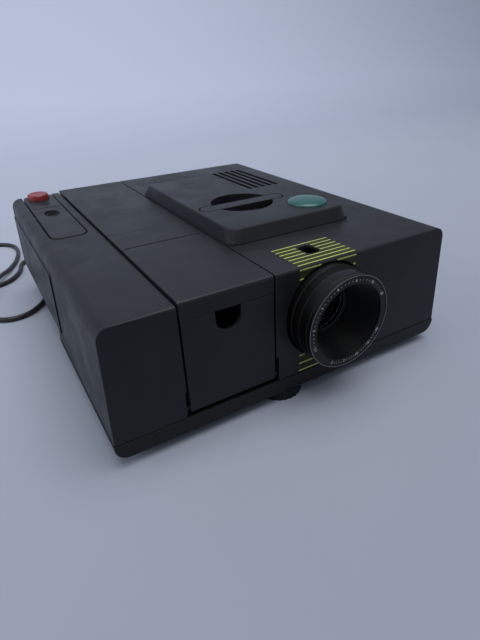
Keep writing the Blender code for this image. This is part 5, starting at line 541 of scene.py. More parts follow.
def screw_head(radius, rise):
    """A pan head with a cross recess, its seat at z = 0."""
    shape = bmesh.new()
    steps = 24
    slot = radius * 0.55
    width = radius * 0.16
    rim = []
    for share, height in ((1.0, 0.0), (1.0, 0.35), (0.93, 0.72), (0.78, 0.93), (0.62, 1.0)):
        rim.append(oval(shape, (0, 0, rise * height), radius * share, radius * share, steps))
    bridge(shape, rim)
    cross = []
    for k in range(4):
        turn = math.tau * k / 4
        for along, across in ((slot, -width), (slot, width), (width, width)):
            cross.append((along * math.cos(turn) - across * math.sin(turn),
                          along * math.sin(turn) + across * math.cos(turn)))
    upper = [shape.verts.new((x, y, rise)) for x, y in cross]
    lower = [shape.verts.new((x * 0.7, y * 0.7, rise * 0.3)) for x, y in cross]
    count = len(cross)
    bridge(shape, (upper, lower))
    shape.faces.new(lower)
    shape.faces.new(rim[0][::-1])
    ring = [shape.edges.get((rim[-1][i], rim[-1][(i + 1) % steps])) for i in range(steps)]
    star = [shape.edges.get((upper[i], upper[(i + 1) % count])) for i in range(count)]
    bmesh.ops.triangle_fill(shape, use_beauty=True, use_dissolve=False, edges=ring + star)
    return shape


def bead(radius, length, steps=16, crown=0.25):
    """A short round stud along +Z with a softened end."""
    shape = bmesh.new()
    profile = [(0, 0), (radius, 0), (radius, length * (1 - crown)), (radius * 0.8, length), (0, length)]
    add_turned(shape, profile, (0, 0, 0), "Z", steps)
    return shape


def bar(length, width, height, soft=0.3):
    """A low rib along X with softened edges, its seat at z = 0."""
    shape = bmesh.new()
    add_box(shape, (-length / 2, -width / 2, 0), (length / 2, width / 2, height))
    edges = [edge for edge in shape.edges if max(v.co.z for v in edge.verts) > height / 2]
    bmesh.ops.bevel(shape, geom=edges, offset=min(width, height) * soft, segments=2, affect="EDGES")
    return shape


def ring_band(radius, thick, length, steps=32):
    """A ring round Z, for the ribs of a relief."""
    shape = bmesh.new()
    half = length / 2
    section = [(radius, -half), (radius + thick * 0.8, -half * 0.7), (radius + thick, 0),
               (radius + thick * 0.8, half * 0.7), (radius, half)]
    add_turned(shape, section, (0, 0, 0), "Z", steps)
    return shape


# Cords: their routes are those of the CAD solids, in metres

REMOTE_DIAMETER = 5.0 * MM
MAINS_DIAMETER = 6.5 * MM
FLOOR_AIR = 0.2 * MM
COIL_AIR = 0.8 * MM
LOOP_POINTS = 24
COIL_WIDTHS = 12
REMOTE_FLOOR = REMOTE_DIAMETER / 2 + FLOOR_AIR
CROSSING = REMOTE_FLOOR + REMOTE_DIAMETER + COIL_AIR

REMOTE_ROUTE = [
    (-0.1134, 0.1970, 0.0894), (-0.1130, 0.2070, 0.0815), (-0.1122, 0.2130, 0.0660),
    (-0.1115, 0.2165, 0.0450), (-0.1108, 0.2210, 0.0265), (-0.1104, 0.2285, 0.0130),
    (-0.1115, 0.2385, 0.0060), (-0.1170, 0.2485, 0.0033), (-0.1270, 0.2530, REMOTE_FLOOR),
    (-0.1372, 0.2480, REMOTE_FLOOR), (-0.1425, 0.2370, REMOTE_FLOOR), (-0.1455, 0.2230, REMOTE_FLOOR),
    (-0.1515, 0.2090, REMOTE_FLOOR), (-0.1620, 0.1960, REMOTE_FLOOR), (-0.1780, 0.1895, REMOTE_FLOOR),
    (-0.1970, 0.1970, REMOTE_FLOOR), (-0.2120, 0.2220, REMOTE_FLOOR), (-0.2140, 0.2580, REMOTE_FLOOR),
    (-0.2040, 0.2950, REMOTE_FLOOR), (-0.1840, 0.3250, REMOTE_FLOOR), (-0.1600, 0.3350, REMOTE_FLOOR),
    (-0.1430, 0.3220, REMOTE_FLOOR), (-0.1380, 0.2970, REMOTE_FLOOR), (-0.1440, 0.2620, REMOTE_FLOOR),
    (-0.1560, 0.2320, REMOTE_FLOOR + COIL_AIR), (-0.1665, 0.2110, CROSSING * 0.75),
    (-0.1755, 0.1900, CROSSING), (-0.1830, 0.1700, CROSSING * 0.75),
    (-0.1900, 0.1500, REMOTE_FLOOR + COIL_AIR), (-0.1940, 0.1250, REMOTE_FLOOR),
    (-0.1860, 0.1060, REMOTE_FLOOR), (-0.1700, 0.0970, REMOTE_FLOOR), (-0.1510, 0.1030, REMOTE_FLOOR),
    (-0.1350, 0.1240, REMOTE_FLOOR), (-0.1250, 0.1500, REMOTE_FLOOR), (-0.1150, 0.1780, REMOTE_FLOOR),
    (-0.1010, 0.2060, REMOTE_FLOOR), (-0.0850, 0.2210, REMOTE_FLOOR),
]
TAIL_ROUTE = [
    (0.0155, 0.2120, 0.0366), (0.0125, 0.2200, 0.0270), (0.0040, 0.2270, 0.0130), (-0.0090, 0.2295, 0.0075),
    (-0.0250, 0.2290, 0.0080), (-0.0400, 0.2280, 0.0086),
]
MAINS_ROUTE = [
    (-0.0085, 0.2060, 0.0376), (-0.0085, 0.2200, 0.0335), (-0.0085, 0.2380, 0.0235),
    (-0.0085, 0.2540, 0.0140), (-0.0085, 0.2640, 0.0112),
]
REMOTE_COIL_CENTRE = (-0.062, 0.264)
REMOTE_COIL_TURNS = 5
MAINS_COIL_TURNS = 6.5
MAINS_COIL_Y = 0.281
MAINS_X = -8.5 * MM
SOCKET_X = 16 * MM
SOCKET_Z = 38 * MM
REMOTE_X = -113.4 * MM
REMOTE_Z = 90.3 * MM
REMOTE_RELIEF = 20 * MM
MAINS_RELIEF = 30 * MM
DIN_PLUG = 36 * MM
INTO_RELIEF = 2 * MM


def coil_points(centre, start_deg, turns, diameter, clockwise, top_first):
    """Two layers of turns that spiral in and out again."""
    pitch = diameter + COIL_AIR
    middle = turns / 2
    inner = diameter * COIL_WIDTHS / 2 - pitch * turns / 4
    low = diameter / 2 + FLOOR_AIR
    points = []
    count = round(LOOP_POINTS * turns)
    for i in range(count + 1):
        turn = turns * i / count
        climbed = min(1.0, max(0.0, (turn - middle) * 2 + 0.5))
        if top_first:
            climbed = 1.0 - climbed
        radius = inner + pitch * abs(turn - middle)
        angle = math.radians(start_deg) + math.tau * turn * (-1 if clockwise else 1)
        points.append(Vector((centre[0] + radius * math.cos(angle), centre[1] + radius * math.sin(angle),
                              low + pitch * climbed)))
    return points


def smooth_route(points, step):
    """Points a step apart along a smooth curve through the route's own points."""
    knots = [Vector(point) for point in points]
    knots = [knots[0] * 2 - knots[1]] + knots + [knots[-1] * 2 - knots[-2]]
    fine = []
    for p0, p1, p2, p3 in zip(knots, knots[1:], knots[2:], knots[3:]):
        for i in range(24):
            t = i / 24
            fine.append(0.5 * (2 * p1 + (p2 - p0) * t + (2 * p0 - 5 * p1 + 4 * p2 - p3) * t * t
                               + (3 * p1 - p0 - 3 * p2 + p3) * t * t * t))
    fine.append(knots[-2])
    length = sum((b - a).length for a, b in zip(fine, fine[1:]))
    count = max(2, round(length / step))
    wanted = [length * i / count for i in range(1, count)]
    route = [fine[0]]
    run = 0.0
    for a, b in zip(fine, fine[1:]):
        part = (b - a).length
        while wanted and wanted[0] <= run + part:
            route.append(a.lerp(b, (wanted.pop(0) - run) / part))
        run += part
    route.append(fine[-1])
    return route


def straight_end(points, diameter):
    """A coil's end runs straight for one diameter."""
    return points[-1] + (points[-1] - points[-2]).normalized() * diameter


def cord_piece(name, points, diameter, nodes):
    line = bpy.data.curves.new(name, "CURVE")
    line.dimensions = "3D"
    line.bevel_depth = diameter / 2
    line.bevel_resolution = 5
    line.use_fill_caps = True
    spline = line.splines.new("POLY")
    spline.points.add(len(points) - 1)
    for target, point in zip(spline.points, points):
        target.co = (*point, 1.0)
    spline.use_smooth = True
    line.materials.append(CORD_RUBBER)
    made = in_scene(name, line)
    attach(made, "projector")
    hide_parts(*nodes)
    return made


def make_cords():
    """The remote control's cord with its coil, and the mains lead with its own."""
    coil = coil_points(REMOTE_COIL_CENTRE, -90, REMOTE_COIL_TURNS, REMOTE_DIAMETER, False, False)
    start = Vector((REMOTE_X, BACK + REMOTE_RELIEF - INTO_RELIEF, REMOTE_Z))
    before = coil[0] + (coil[0] - coil[1]).normalized() * REMOTE_DIAMETER
    there = smooth_route([start, start + Vector((0, INTO_RELIEF + REMOTE_DIAMETER, 0)), *REMOTE_ROUTE,
                          before], REMOTE_DIAMETER)
    plug_end = Vector((SOCKET_X, BACK + DIN_PLUG - INTO_RELIEF, SOCKET_Z))
    after = straight_end(coil, REMOTE_DIAMETER)
    back = smooth_route([plug_end, plug_end + Vector((0, INTO_RELIEF + REMOTE_DIAMETER, 0)), *TAIL_ROUTE,
                         after], REMOTE_DIAMETER)
    points = there + coil + back[::-1]
    cord_piece("remote_lead", points, REMOTE_DIAMETER, ("remote_cord", "remote_coil", "remote_tail"))

    reach = MAINS_DIAMETER * COIL_WIDTHS / 2 + (MAINS_DIAMETER + COIL_AIR) * MAINS_COIL_TURNS / 4
    coil = coil_points((MAINS_X + reach, MAINS_COIL_Y), 180, MAINS_COIL_TURNS, MAINS_DIAMETER, True, True)
    start = Vector((MAINS_X, BACK + MAINS_RELIEF - INTO_RELIEF, SOCKET_Z))
    before = coil[0] + (coil[0] - coil[1]).normalized() * MAINS_DIAMETER
    there = smooth_route([start, start + Vector((0, INTO_RELIEF + MAINS_DIAMETER, 0)), *MAINS_ROUTE,
                          before], MAINS_DIAMETER)
    points = there + coil + [straight_end(coil, MAINS_DIAMETER)]
    cord_piece("mains_lead", points, MAINS_DIAMETER, ("mains_cord", "mains_coil"))


# Lens


LENS_STEPS = 96
LENS_RADIUS = (BARREL_HIGH[0] - BARREL_LOW[0]) / 2
MOUTH = BARREL_LOW[1]
BARREL_BACK = FRONT + 16 * MM
LENS_END = BARREL_HIGH[1]
RING_DEPTH = 1.2 * MM
RING_RADII = (28.4 * MM, 33.5 * MM)
FUNNEL_RADII = (28.2 * MM, 19.5 * MM)
FUNNEL_LENGTH = 24 * MM
FUNNEL_STEPS = 18
TUBE_RADIUS = 22.2 * MM
CHAMFER = 0.35 * MM
RIM_STEP = 0.1 * MM
RIM_LIP = 0.4 * MM
RING_SEAT = 0.25 * MM
GROOVES_Y = (MOUTH + 3.0 * MM, MOUTH + 11.2 * MM)
GROOVE_WIDTH = 0.9 * MM
GROOVE_SLOPE = 0.2 * MM
KNURL_COUNT = 144
KNURL_DEPTH = 0.4 * MM
KNURL_WIDTH = 0.8 * MM
KNURL_Y = (MOUTH + 12.4 * MM, MOUTH + 19.6 * MM)
LENS_AXIS = (AXIS_X, 0, AXIS_Z)


def make_barrel():
    """The barrel in one section: chamfered rim, grooves, knurled band, stepped funnel and inner tube."""
    start = MOUTH + RING_DEPTH
    low = LENS_RADIUS - KNURL_DEPTH
    seat = RING_RADII[1] + RING_SEAT
    profile = [(FUNNEL_RADII[0], start), (seat, start), (seat, MOUTH + RIM_STEP),
               (RING_RADII[1] + RIM_LIP, MOUTH),
               (LENS_RADIUS - CHAMFER, MOUTH), (LENS_RADIUS, MOUTH + CHAMFER)]
    for groove in GROOVES_Y:
        profile += [(LENS_RADIUS, groove), (low, groove + GROOVE_SLOPE),
                    (low, groove + GROOVE_WIDTH - GROOVE_SLOPE), (LENS_RADIUS, groove + GROOVE_WIDTH)]
    profile += [(LENS_RADIUS, KNURL_Y[0] - GROOVE_SLOPE), (low, KNURL_Y[0]), (low, KNURL_Y[1]),
                (LENS_RADIUS, KNURL_Y[1] + GROOVE_SLOPE),
                (LENS_RADIUS, BARREL_BACK), (TUBE_RADIUS, BARREL_BACK), (TUBE_RADIUS, LENS_END),
                (FUNNEL_RADII[1], LENS_END), (FUNNEL_RADII[1], start + FUNNEL_LENGTH)]
    for i in range(1, FUNNEL_STEPS + 1):
        radius = FUNNEL_RADII[1] + (FUNNEL_RADII[0] - FUNNEL_RADII[1]) * i / FUNNEL_STEPS
        profile.append((radius, start + FUNNEL_LENGTH * (1 - (i - 1) / FUNNEL_STEPS)))
        profile.append((radius, start + FUNNEL_LENGTH * (1 - i / FUNNEL_STEPS)))
    shape = bmesh.new()
    add_turned(shape, profile, LENS_AXIS, "Y", LENS_STEPS)
    piece("lens_shell", shape, LENS_BLACK, "lens", replaces=("lens_barrel",),
          smooth_deg=28)
    ribs = []
    middle = (KNURL_Y[0] + KNURL_Y[1]) / 2
    for i in range(KNURL_COUNT):
        turn = math.tau * i / KNURL_COUNT
        out = Vector((math.cos(turn), 0, math.sin(turn)))
        ribs.append((Vector((AXIS_X, middle, AXIS_Z)) + out * (low - BITE), out, 0.0, 1.0))
    rib = bar(KNURL_Y[1] - KNURL_Y[0] - GROOVE_SLOPE * 2, KNURL_WIDTH, KNURL_DEPTH, 0.45)
    repeat("lens_knurl", rib, aligned(ribs, Vector((0, 1, 0))), LENS_BLACK, "lens")


def aligned(places, along):
    """Spins each place so that the part's X axis runs along the given direction."""
    done = []
    for point, facing, _, size in places:
        facing = Vector(facing).normalized()
        base = Vector((0, 0, 1)).rotation_difference(facing) @ Vector((1, 0, 0))
        flat = (along - facing * along.dot(facing)).normalized()
        spin = math.atan2(base.cross(flat).dot(facing), base.dot(flat))
        done.append((point, facing, spin, size))
    return done


BAND_DEPTH = 0.18 * MM
EDGE_BEVEL = 0.2 * MM
OUTER_BEVEL = 0.15 * MM
EDGE_WIDTH = 0.5 * MM
BAND_FROM_EDGE = 0.7 * MM
RIM_HIGHLIGHT_WIDTH = 0.62 * MM
RING_CLEAR = 0.3 * MM


def make_lens_ring():
    """The front ring: a sunk band for the scale between two thin edges, and a pale grey band round the rim, a
    painted highlight standing in for the light caught on the rim's chamfer.
    """
    shape = bmesh.new()
    inner, outer = RING_RADII
    back = MOUTH + RING_DEPTH - RING_CLEAR
    sunk = MOUTH + BAND_DEPTH
    profile = [(inner, back), (inner, MOUTH + EDGE_BEVEL), (inner + EDGE_BEVEL, MOUTH),
               (inner + EDGE_WIDTH, MOUTH),
               (inner + BAND_FROM_EDGE, sunk), (outer - BAND_FROM_EDGE, sunk), (outer - EDGE_WIDTH, MOUTH),
               (outer - OUTER_BEVEL, MOUTH), (outer, MOUTH + OUTER_BEVEL), (outer, back)]
    add_turned(shape, profile + profile[:1], LENS_AXIS, "Y", LENS_STEPS)
    piece("lens_face_ring", shape, LENS_BLACK, "lens", replaces=("lens_front_ring",),
          smooth_deg=28)
    # A pale grey band round the rim: painted highlight, standing in for the light caught on the rim's chamfer
    shape = bmesh.new()
    low, high = LENS_RADIUS - RIM_HIGHLIGHT_WIDTH, LENS_RADIUS - CHAMFER * 0.9
    section = [(low, MOUTH + BITE), (low, MOUTH - INK), (high, MOUTH - INK), (high, MOUTH + BITE),
               (low, MOUTH + BITE)]
    add_turned(shape, section, LENS_AXIS, "Y", LENS_STEPS)
    piece("lens_rim_line", shape, RIM_HIGHLIGHT_GREY, "lens")


def print_shape(text, size):
    """A short generic number as a thin mesh."""
    line = bpy.data.curves.new("print", "FONT")
    line.body = text
    line.size = size
    line.align_x = "CENTER"
    line.align_y = "CENTER"
    line.resolution_u = 3
    holder = in_scene("print", line)
    bpy.context.view_layer.update()
    mesh = bpy.data.meshes.new_from_object(holder.evaluated_get(bpy.context.evaluated_depsgraph_get()))
    bpy.data.objects.remove(holder)
    bpy.data.curves.remove(line)
    return mesh


NUMBER_SIZE = 3.0 * MM
TICK_HALF = 0.5 * MM
TICK_THICK = 0.11 * MM
TICKS_A_NUMBER = 5
# Each row of the scale: its numbers, its first and last angle and its count of places
SCALE_ROWS = (
    (("1.5", "2", "3", "4", "6", "10", "20"), -112, 62, 31), (("5", "7", "10", "15", "30"), 205, 118, 21),
)


def make_ring_scale():
    """Numbers and ticks of a distance scale round the front ring."""
    shape = bmesh.new()
    middle = (RING_RADII[0] + RING_RADII[1]) / 2
    centre = Vector((AXIS_X, MOUTH + BAND_DEPTH - INK, AXIS_Z))
    for row, (labels, first, last, _) in enumerate(SCALE_ROWS):
        for i, label in enumerate(labels):
            angle = math.radians(first + (last - first) * i / (len(labels) - 1))
            mesh = print_shape(label, NUMBER_SIZE)
            place = centre + Vector((math.sin(angle), 0, math.cos(angle))) * middle
            turn = angle + math.pi * row
            across = Vector((math.cos(turn), 0, -math.sin(turn)))
            up = Vector((math.sin(turn), 0, math.cos(turn)))
            found = [shape.verts.new(place + across * v.co.x + up * v.co.y) for v in mesh.vertices]
            for face in mesh.polygons:
                shape.faces.new([found[index] for index in face.vertices])
            bpy.data.meshes.remove(mesh)
    for _, first, last, count in SCALE_ROWS:
        for i in range(count):
            if i % TICKS_A_NUMBER == 0:
                continue
            angle = math.radians(first + (last - first) * i / (count - 1))
            radial = Vector((math.sin(angle), 0, math.cos(angle)))
            side = Vector((math.cos(angle), 0, -math.sin(angle)))
            corners = [centre + radial * (middle + TICK_HALF * out) + side * TICK_THICK * across
                       for out, across in ((-1, -1), (-1, 1), (1, 1), (1, -1))]
            shape.faces.new([shape.verts.new(corner) for corner in corners])
    bmesh.ops.solidify(shape, geom=shape.faces[:], thickness=INK)
    piece("ring_scale", shape, PRINT_WHITE, "lens")


CELL_AIR = 0.05 * MM
CELL_WIDTH = 2.4 * MM
CELL_DEPTH = 1.6 * MM
CELL_GAP = 0.1 * MM
CELL_END = 0.2 * MM


def make_lens_cells():
    """Bevelled retaining rings before the front glass and behind the rear one."""
    for name, face, way in (("front_cell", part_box("front_glass")[0][1], -1),
                            ("rear_cell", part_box("rear_glass")[1][1], 1)):
        shape = bmesh.new()
        radius = FUNNEL_RADII[1] - CELL_AIR
        inner = radius - CELL_WIDTH
        edge = face + way * CELL_GAP
        out = edge + way * CELL_DEPTH
        if way > 0:
            out = min(out, LENS_END - CELL_END)
        profile = [(inner, edge), (radius, edge), (radius, out), (inner + CELL_WIDTH / 2, out),
                   (inner, (edge + out) / 2), (inner, edge)]
        add_turned(shape, profile, LENS_AXIS, "Y", 64)
        piece(name, shape, LENS_BLACK, "lens")


# Prints on the casing


def front_lean(height):
    """How far the front wall has come back at this height."""
    return FRONT_DRAFT * (height - BASE) / BODY_HEIGHT


STRIPE_WIDTH = 1.05 * MM
STRIPE_COUNT = 7
STRIPES_X = (-2.0 * MM, 48.0 * MM)
STRIPES_Y = (FRONT + 7.0 * MM, FRONT + 38.0 * MM)
WINDOW_X = (16.0 * MM, 29.0 * MM)
WINDOW_Y = (FRONT + 19.0 * MM, FRONT + 34.5 * MM)
FRONT_STRIPES_ABOVE = (TOP - 1.9 * MM, TOP - 8.5 * MM)
FRONT_STRIPES_BELOW = (34 * MM, 27.4 * MM, 21.2 * MM)
FRONT_STRIPES_X = (-2.5 * MM, 46.8 * MM)
LENS_GAP = 36.3 * MM
TOP_ROUND = 1.4 * MM
GROUND_STEP = 0.5 * MM
GROUND_DEPTH = 12 * MM
GROUND_END = 12.2 * MM


def top_spans(near, far):
    """Where a strip between these two places runs: whole, or in two parts beside the setting slot."""
    if near < WINDOW_Y[1] and far > WINDOW_Y[0]:
        return [(STRIPES_X[0], WINDOW_X[0]), (WINDOW_X[1], STRIPES_X[1])]
    return [STRIPES_X]


def make_top_stripes():
    """Thin lime lines across the top, broken round the setting slot, on a darker ground."""
    shape = bmesh.new()
    ground = bmesh.new()
    pitch = (STRIPES_Y[1] - STRIPES_Y[0]) / (STRIPE_COUNT - 1)
    half = STRIPE_WIDTH / 2
    for i in range(STRIPE_COUNT):
        y = STRIPES_Y[0] + pitch * i
        for left, right in top_spans(y, y):
            add_box(shape, (left, y - half, TOP - BITE), (right, y + half, TOP + INK))
        if i < STRIPE_COUNT - 1:
            for left, right in top_spans(y, y + pitch):
                add_box(ground, (left, y + half, TOP - BITE), (right, y + pitch - half, TOP + INK / 2))
    add_box(ground, (STRIPES_X[0], FRONT + FRONT_DRAFT + TOP_ROUND, TOP - BITE),
            (STRIPES_X[1], STRIPES_Y[0] - half, TOP + INK / 2))
    piece("top_stripes", shape, PRINT_LIME, "projector")
    piece("top_ground", ground, PRINT_OLIVE, "projector")


def front_span(z):
    """Where a line at this height runs: whole, or in two parts beside the lens."""
    half = math.sqrt(max(0.0, LENS_GAP ** 2 - (z - AXIS_Z) ** 2))
    left, right = FRONT_STRIPES_X
    if not half:
        return [(left, right)]
    return [(a, b) for a, b in ((left, AXIS_X - half), (AXIS_X + half, right)) if b - a > STRIPE_WIDTH]


def make_front_stripes():
    """The same lines down the front, left free where the lens stands before them."""
    shape = bmesh.new()
    ground = bmesh.new()
    for z in FRONT_STRIPES_ABOVE + FRONT_STRIPES_BELOW:
        for left, right in front_span(z):
            add_box(shape, (left, FRONT - INK, z - STRIPE_WIDTH / 2), (right, FRONT + BITE,
                    z + STRIPE_WIDTH / 2), front_lean)
    lines = FRONT_STRIPES_ABOVE + FRONT_STRIPES_BELOW
    for z, low in ((TOP - TOP_ROUND, TOP - GROUND_DEPTH), (FRONT_STRIPES_BELOW[0], BASE + GROUND_END)):
        while z - GROUND_STEP > low:
            middle = z - GROUND_STEP / 2
            if not any(abs(middle - line) < (STRIPE_WIDTH + GROUND_STEP) / 2 for line in lines):
                for left, right in front_span(middle):
                    add_box(ground, (left, FRONT - INK / 2, z - GROUND_STEP), (right, FRONT + BITE, z),
                            front_lean)
            z -= GROUND_STEP
    piece("front_stripes", shape, PRINT_LIME, "projector")
    piece("front_ground", ground, PRINT_OLIVE, "projector")


# Handset details


# The red button's rim: how far inside its radius, and how far under its top
RED_SECTION = ((0.0, 1.7 * MM), (0.12 * MM, 1.1 * MM), (0.5 * MM, 0.45 * MM), (1.2 * MM, 0.08 * MM),
               (1.9 * MM, 0.0), (2.6 * MM, 0.1 * MM))
RED_DISH = 0.8 * MM
ROCKER_STEPS = 56
ROCKER_BODY = 9.0 * MM
ROCKER_DISH = 0.45 * MM
# The rocker's rim: its share of the full width, and how far under its top
ROCKER_SECTION = ((1.0, 0.5 * MM), (0.95, 0.1 * MM), (0.84, 0.0))
ROCKER_INTO = 0.1 * MM
RIDGE = 0.5 * MM
ROCKER_FOOT_HALF = 1.1 * MM
MARK_X = (-116.0 * MM, -108.4 * MM)
MARK_Y = (121.6 * MM, 131.0 * MM)
MARK_CORNER = 2.4 * MM
SEAM_Y = 113.6 * MM
SEAM_INSET = 2.2 * MM
HANDSET_SEAM = 0.22 * MM


def make_handset_details():
    """The domed red button with its dish, the rocker with its ridges, a dark mark and a seam."""
    low, high, (x, y, _) = middle_of("red_button")
    radius = (high[0] - low[0]) / 2
    top = high[2]
    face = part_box("handset_cover")[1][2]
    shape = bmesh.new()
    profile = [(0, low[2]), (radius, low[2])]
    profile += [(radius - inset, top - drop) for inset, drop in RED_SECTION]
    rim = radius - RED_SECTION[-1][0]
    for i in range(1, 7):
        share = 1 - i / 6
        profile.append((rim * share, top - RED_SECTION[-1][1] - RED_DISH * (1 - share * share)))
    add_turned(shape, profile, (x, y, 0), "Z", 64)
    piece("red_cap", shape, BUTTON_RED, "red_button", replaces=("red_button",), smooth_deg=50)
    low, high, (x, y, _) = middle_of("focus_rocker")
    half_x, half_y = (high[0] - low[0]) / 2, (high[1] - low[1]) / 2
    shape = bmesh.new()
    rings = []
    edge = low[2] + ROCKER_BODY
    for share, z in ((1.0, edge), *((share, high[2] - drop) for share, drop in ROCKER_SECTION)):
        rings.append(oval(shape, (x, y, z), half_x * share, half_y * share, ROCKER_STEPS))
    shape.faces.new(rings[0][::-1])
    bridge(shape, rings)
    inner = [shape.verts.new((x + (v.co.x - x) * 0.92, y + (v.co.y - y) * 0.98, v.co.z)) for v in rings[-1]]
    for vertex in inner:
        along = (vertex.co.y - y) / half_y
        vertex.co.z = high[2] - ROCKER_DISH * (1 - along * along)
    bridge(shape, (rings[-1], inner))
    shape.faces.new(inner)
    half = half_x / 2
    add_box(shape, (x - half, y - ROCKER_FOOT_HALF, low[2]),
            (x + half, y + ROCKER_FOOT_HALF, edge + ROCKER_INTO))
    piece("rocker_cap", shape, KEY_BLACK, "focus_rocker", replaces=("focus_rocker",),
          smooth_deg=40)
    ridge = [(Vector((x, y + half_y * share, high[2] - ROCKER_DISH)), (0, 0, 1), 0.0, 1.0)
             for share in (-0.12, 0.0, 0.12)]
    repeat("rocker_ridges", bar(half_x * 1.1, RIDGE, RIDGE, 0.4), ridge, KEY_BLACK, "focus_rocker")
    shape = bmesh.new()
    add_box(shape, (MARK_X[0], MARK_Y[0], face - BITE), (MARK_X[1], MARK_Y[1], face + INK))
    bmesh.ops.bevel(shape, geom=[e for e in shape.edges if abs(e.verts[0].co.z - e.verts[1].co.z) > INK],
                    offset=MARK_CORNER, segments=5, affect="EDGES")
    piece("handset_mark", shape, KEY_BLACK, "projector")
    low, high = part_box("handset_cover")
    path = [(low[0] + SEAM_INSET, SEAM_Y, face), (high[0] - SEAM_INSET, SEAM_Y, face)]
    sweep("handset_seam", [path], HANDSET_SEAM, KEY_BLACK, "projector", sides=6, step=4 * MM)


def rounded_path(low, high, corner, z, steps=6):
    """A closed outline with round corners at one height."""
    centres = ((high[0] - corner, high[1] - corner, 0), (low[0] + corner, high[1] - corner, 90),
               (low[0] + corner, low[1] + corner, 180), (high[0] - corner, low[1] + corner, 270))
    path = []
    for x, y, start in centres:
        for i in range(steps + 1):
            angle = math.radians(start + 90 * i / steps)
            path.append(Vector((x + corner * math.cos(angle), y + corner * math.sin(angle), z)))
    return path


def flat_ring(name, outer, inner, thick, material, body):
    """A thin flat band between two outlines of the same count, open where the first and last points part."""
    shape = bmesh.new()
    rows = []
    for path in (outer, inner):
        for rise in (thick, -BITE):
            rows.append([shape.verts.new(point + Vector((0, 0, rise))) for point in path])
    order = (rows[0], rows[2], rows[3], rows[1])
    for first, second in zip(order, order[1:] + order[:1]):
        for i in range(len(outer) - 1):
            shape.faces.new((first[i], first[i + 1], second[i + 1], second[i]))
    for end in (0, -1):
        shape.faces.new([row[end] for row in order])
    piece(name, shape, material, body)


DOCK_GAP = 1.0 * MM
DOCK_LINE = 0.7 * MM
DOCK_CORNER = 7.5 * MM


def make_dock_edge():
    """The dark shadow line round the remote control's dock."""
    low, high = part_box("handset_cover")
    level = COVER_HIGH[2]
    paths = []
    for reach in (DOCK_GAP + DOCK_LINE, DOCK_GAP + BITE):
        corner = DOCK_CORNER + reach
        near, far = (low[0] - reach, low[1] - reach), (high[0] + reach, high[1] + reach)
        whole = rounded_path(near, far, corner, level)
        line = whole[len(whole) // 2:]
        ends = [Vector((end.x, BACK - DOCK_GAP, level)) for end in (line[0], line[-1])]
        paths.append([ends[0], *line, ends[1]])
    flat_ring("dock_edge", paths[0], paths[1], INK, KEY_BLACK, "projector")


# Lamp cover details


GREEN_RIM = 0.3 * MM
GREEN_TAB_WIDTH_SHARE = 0.2
GREEN_TAB = (1.0 * MM, 1.2 * MM)
GREEN_TAB_HEIGHT = 2.2 * MM
GRIP_SEAM = 0.16 * MM
VENT_SEAM_AND_SHADE = 0.12 * MM
GRIP_SEAM_X = 21.8 * MM
GRIP_SEAM_INSET = 0.4 * MM
VENT_SEAM_X = 49.8 * MM
VENT_SEAM_Y = (12.5 * MM, 88.0 * MM)
# The hump's rear edge, where a dark line is painted shade
BACK_SHADE_X = -12.0 * MM
BACK_SHADE_Y = 90.4 * MM


def make_cover_details():
    """The green button as a smooth dome, a seam across the grip bar, a moulded line by the vents and a
    painted shade line along the hump's rear edge.
    """
    low, high, (x, y, _) = middle_of("green_button")
    radius = (high[0] - low[0]) / 2
    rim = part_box("grip_bar")[1][2] + GREEN_RIM
    shape = bmesh.new()
    profile = [(0, low[2]), (radius, low[2]), (radius, rim)]
    for i in range(1, 13):
        angle = math.radians(7.5 * i)
        profile.append((radius * math.cos(angle) if i < 12 else 0, rim + (high[2] - rim) * math.sin(angle)))
    add_turned(shape, profile, (x, y, 0), "Z", 72)
    for way in (-1, 1):
        ends = sorted((y + way * (radius - GREEN_TAB[0]), y + way * (radius + GREEN_TAB[1])))
        half = radius * GREEN_TAB_WIDTH_SHARE
        add_box(shape, (x - half, ends[0], low[2]), (x + half, ends[1], low[2] + GREEN_TAB_HEIGHT))
    piece("green_cap", shape, BUTTON_GREEN, "green_button", replaces=("green_button",),
          smooth_deg=60)
    low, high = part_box("grip_bar")
    ends = (low[1] + GRIP_SEAM_INSET, high[1] - GRIP_SEAM_INSET)
    seam = [[(GRIP_SEAM_X, y, high[2]) for y in ends]]
    sweep("grip_seam", seam, GRIP_SEAM, BASE_BLACK, "lamp_cover", sides=6, step=2 * MM)
    rise = high[2]
    # The line by the vents is a moulded seam; the line along the hump's rear edge is painted shade, a dark
    # line where the rear slope turns away from the light
    seam = [[(VENT_SEAM_X, y, rise) for y in VENT_SEAM_Y],
            [(x, BACK_SHADE_Y, rise) for x in (BACK_SHADE_X, VENT_SEAM_X)]]
    sweep("vent_seam", seam, VENT_SEAM_AND_SHADE, BASE_BLACK, "lamp_cover", sides=6, step=8 * MM)


# Rear, underside and works


SCREW_RADIUS = 3.2 * MM
SCREW_RISE = 0.7 * MM
HOUSE_SCREW_RISE = 1.1 * MM
# In millimetres: x and y under the base, and x and z on the rear panel
BASE_SCREWS = ((-98, -70), (120, -130), (120, 20), (40, 150), (-60, 150), (-60, -120))
REAR_SCREWS = ((-14, 92), (130, 92), (130, 26), (46, 26))
HOUSE_SCREWS_Y = (-14, 54)
HOUSE_SCREWS_Z = (26, 80)


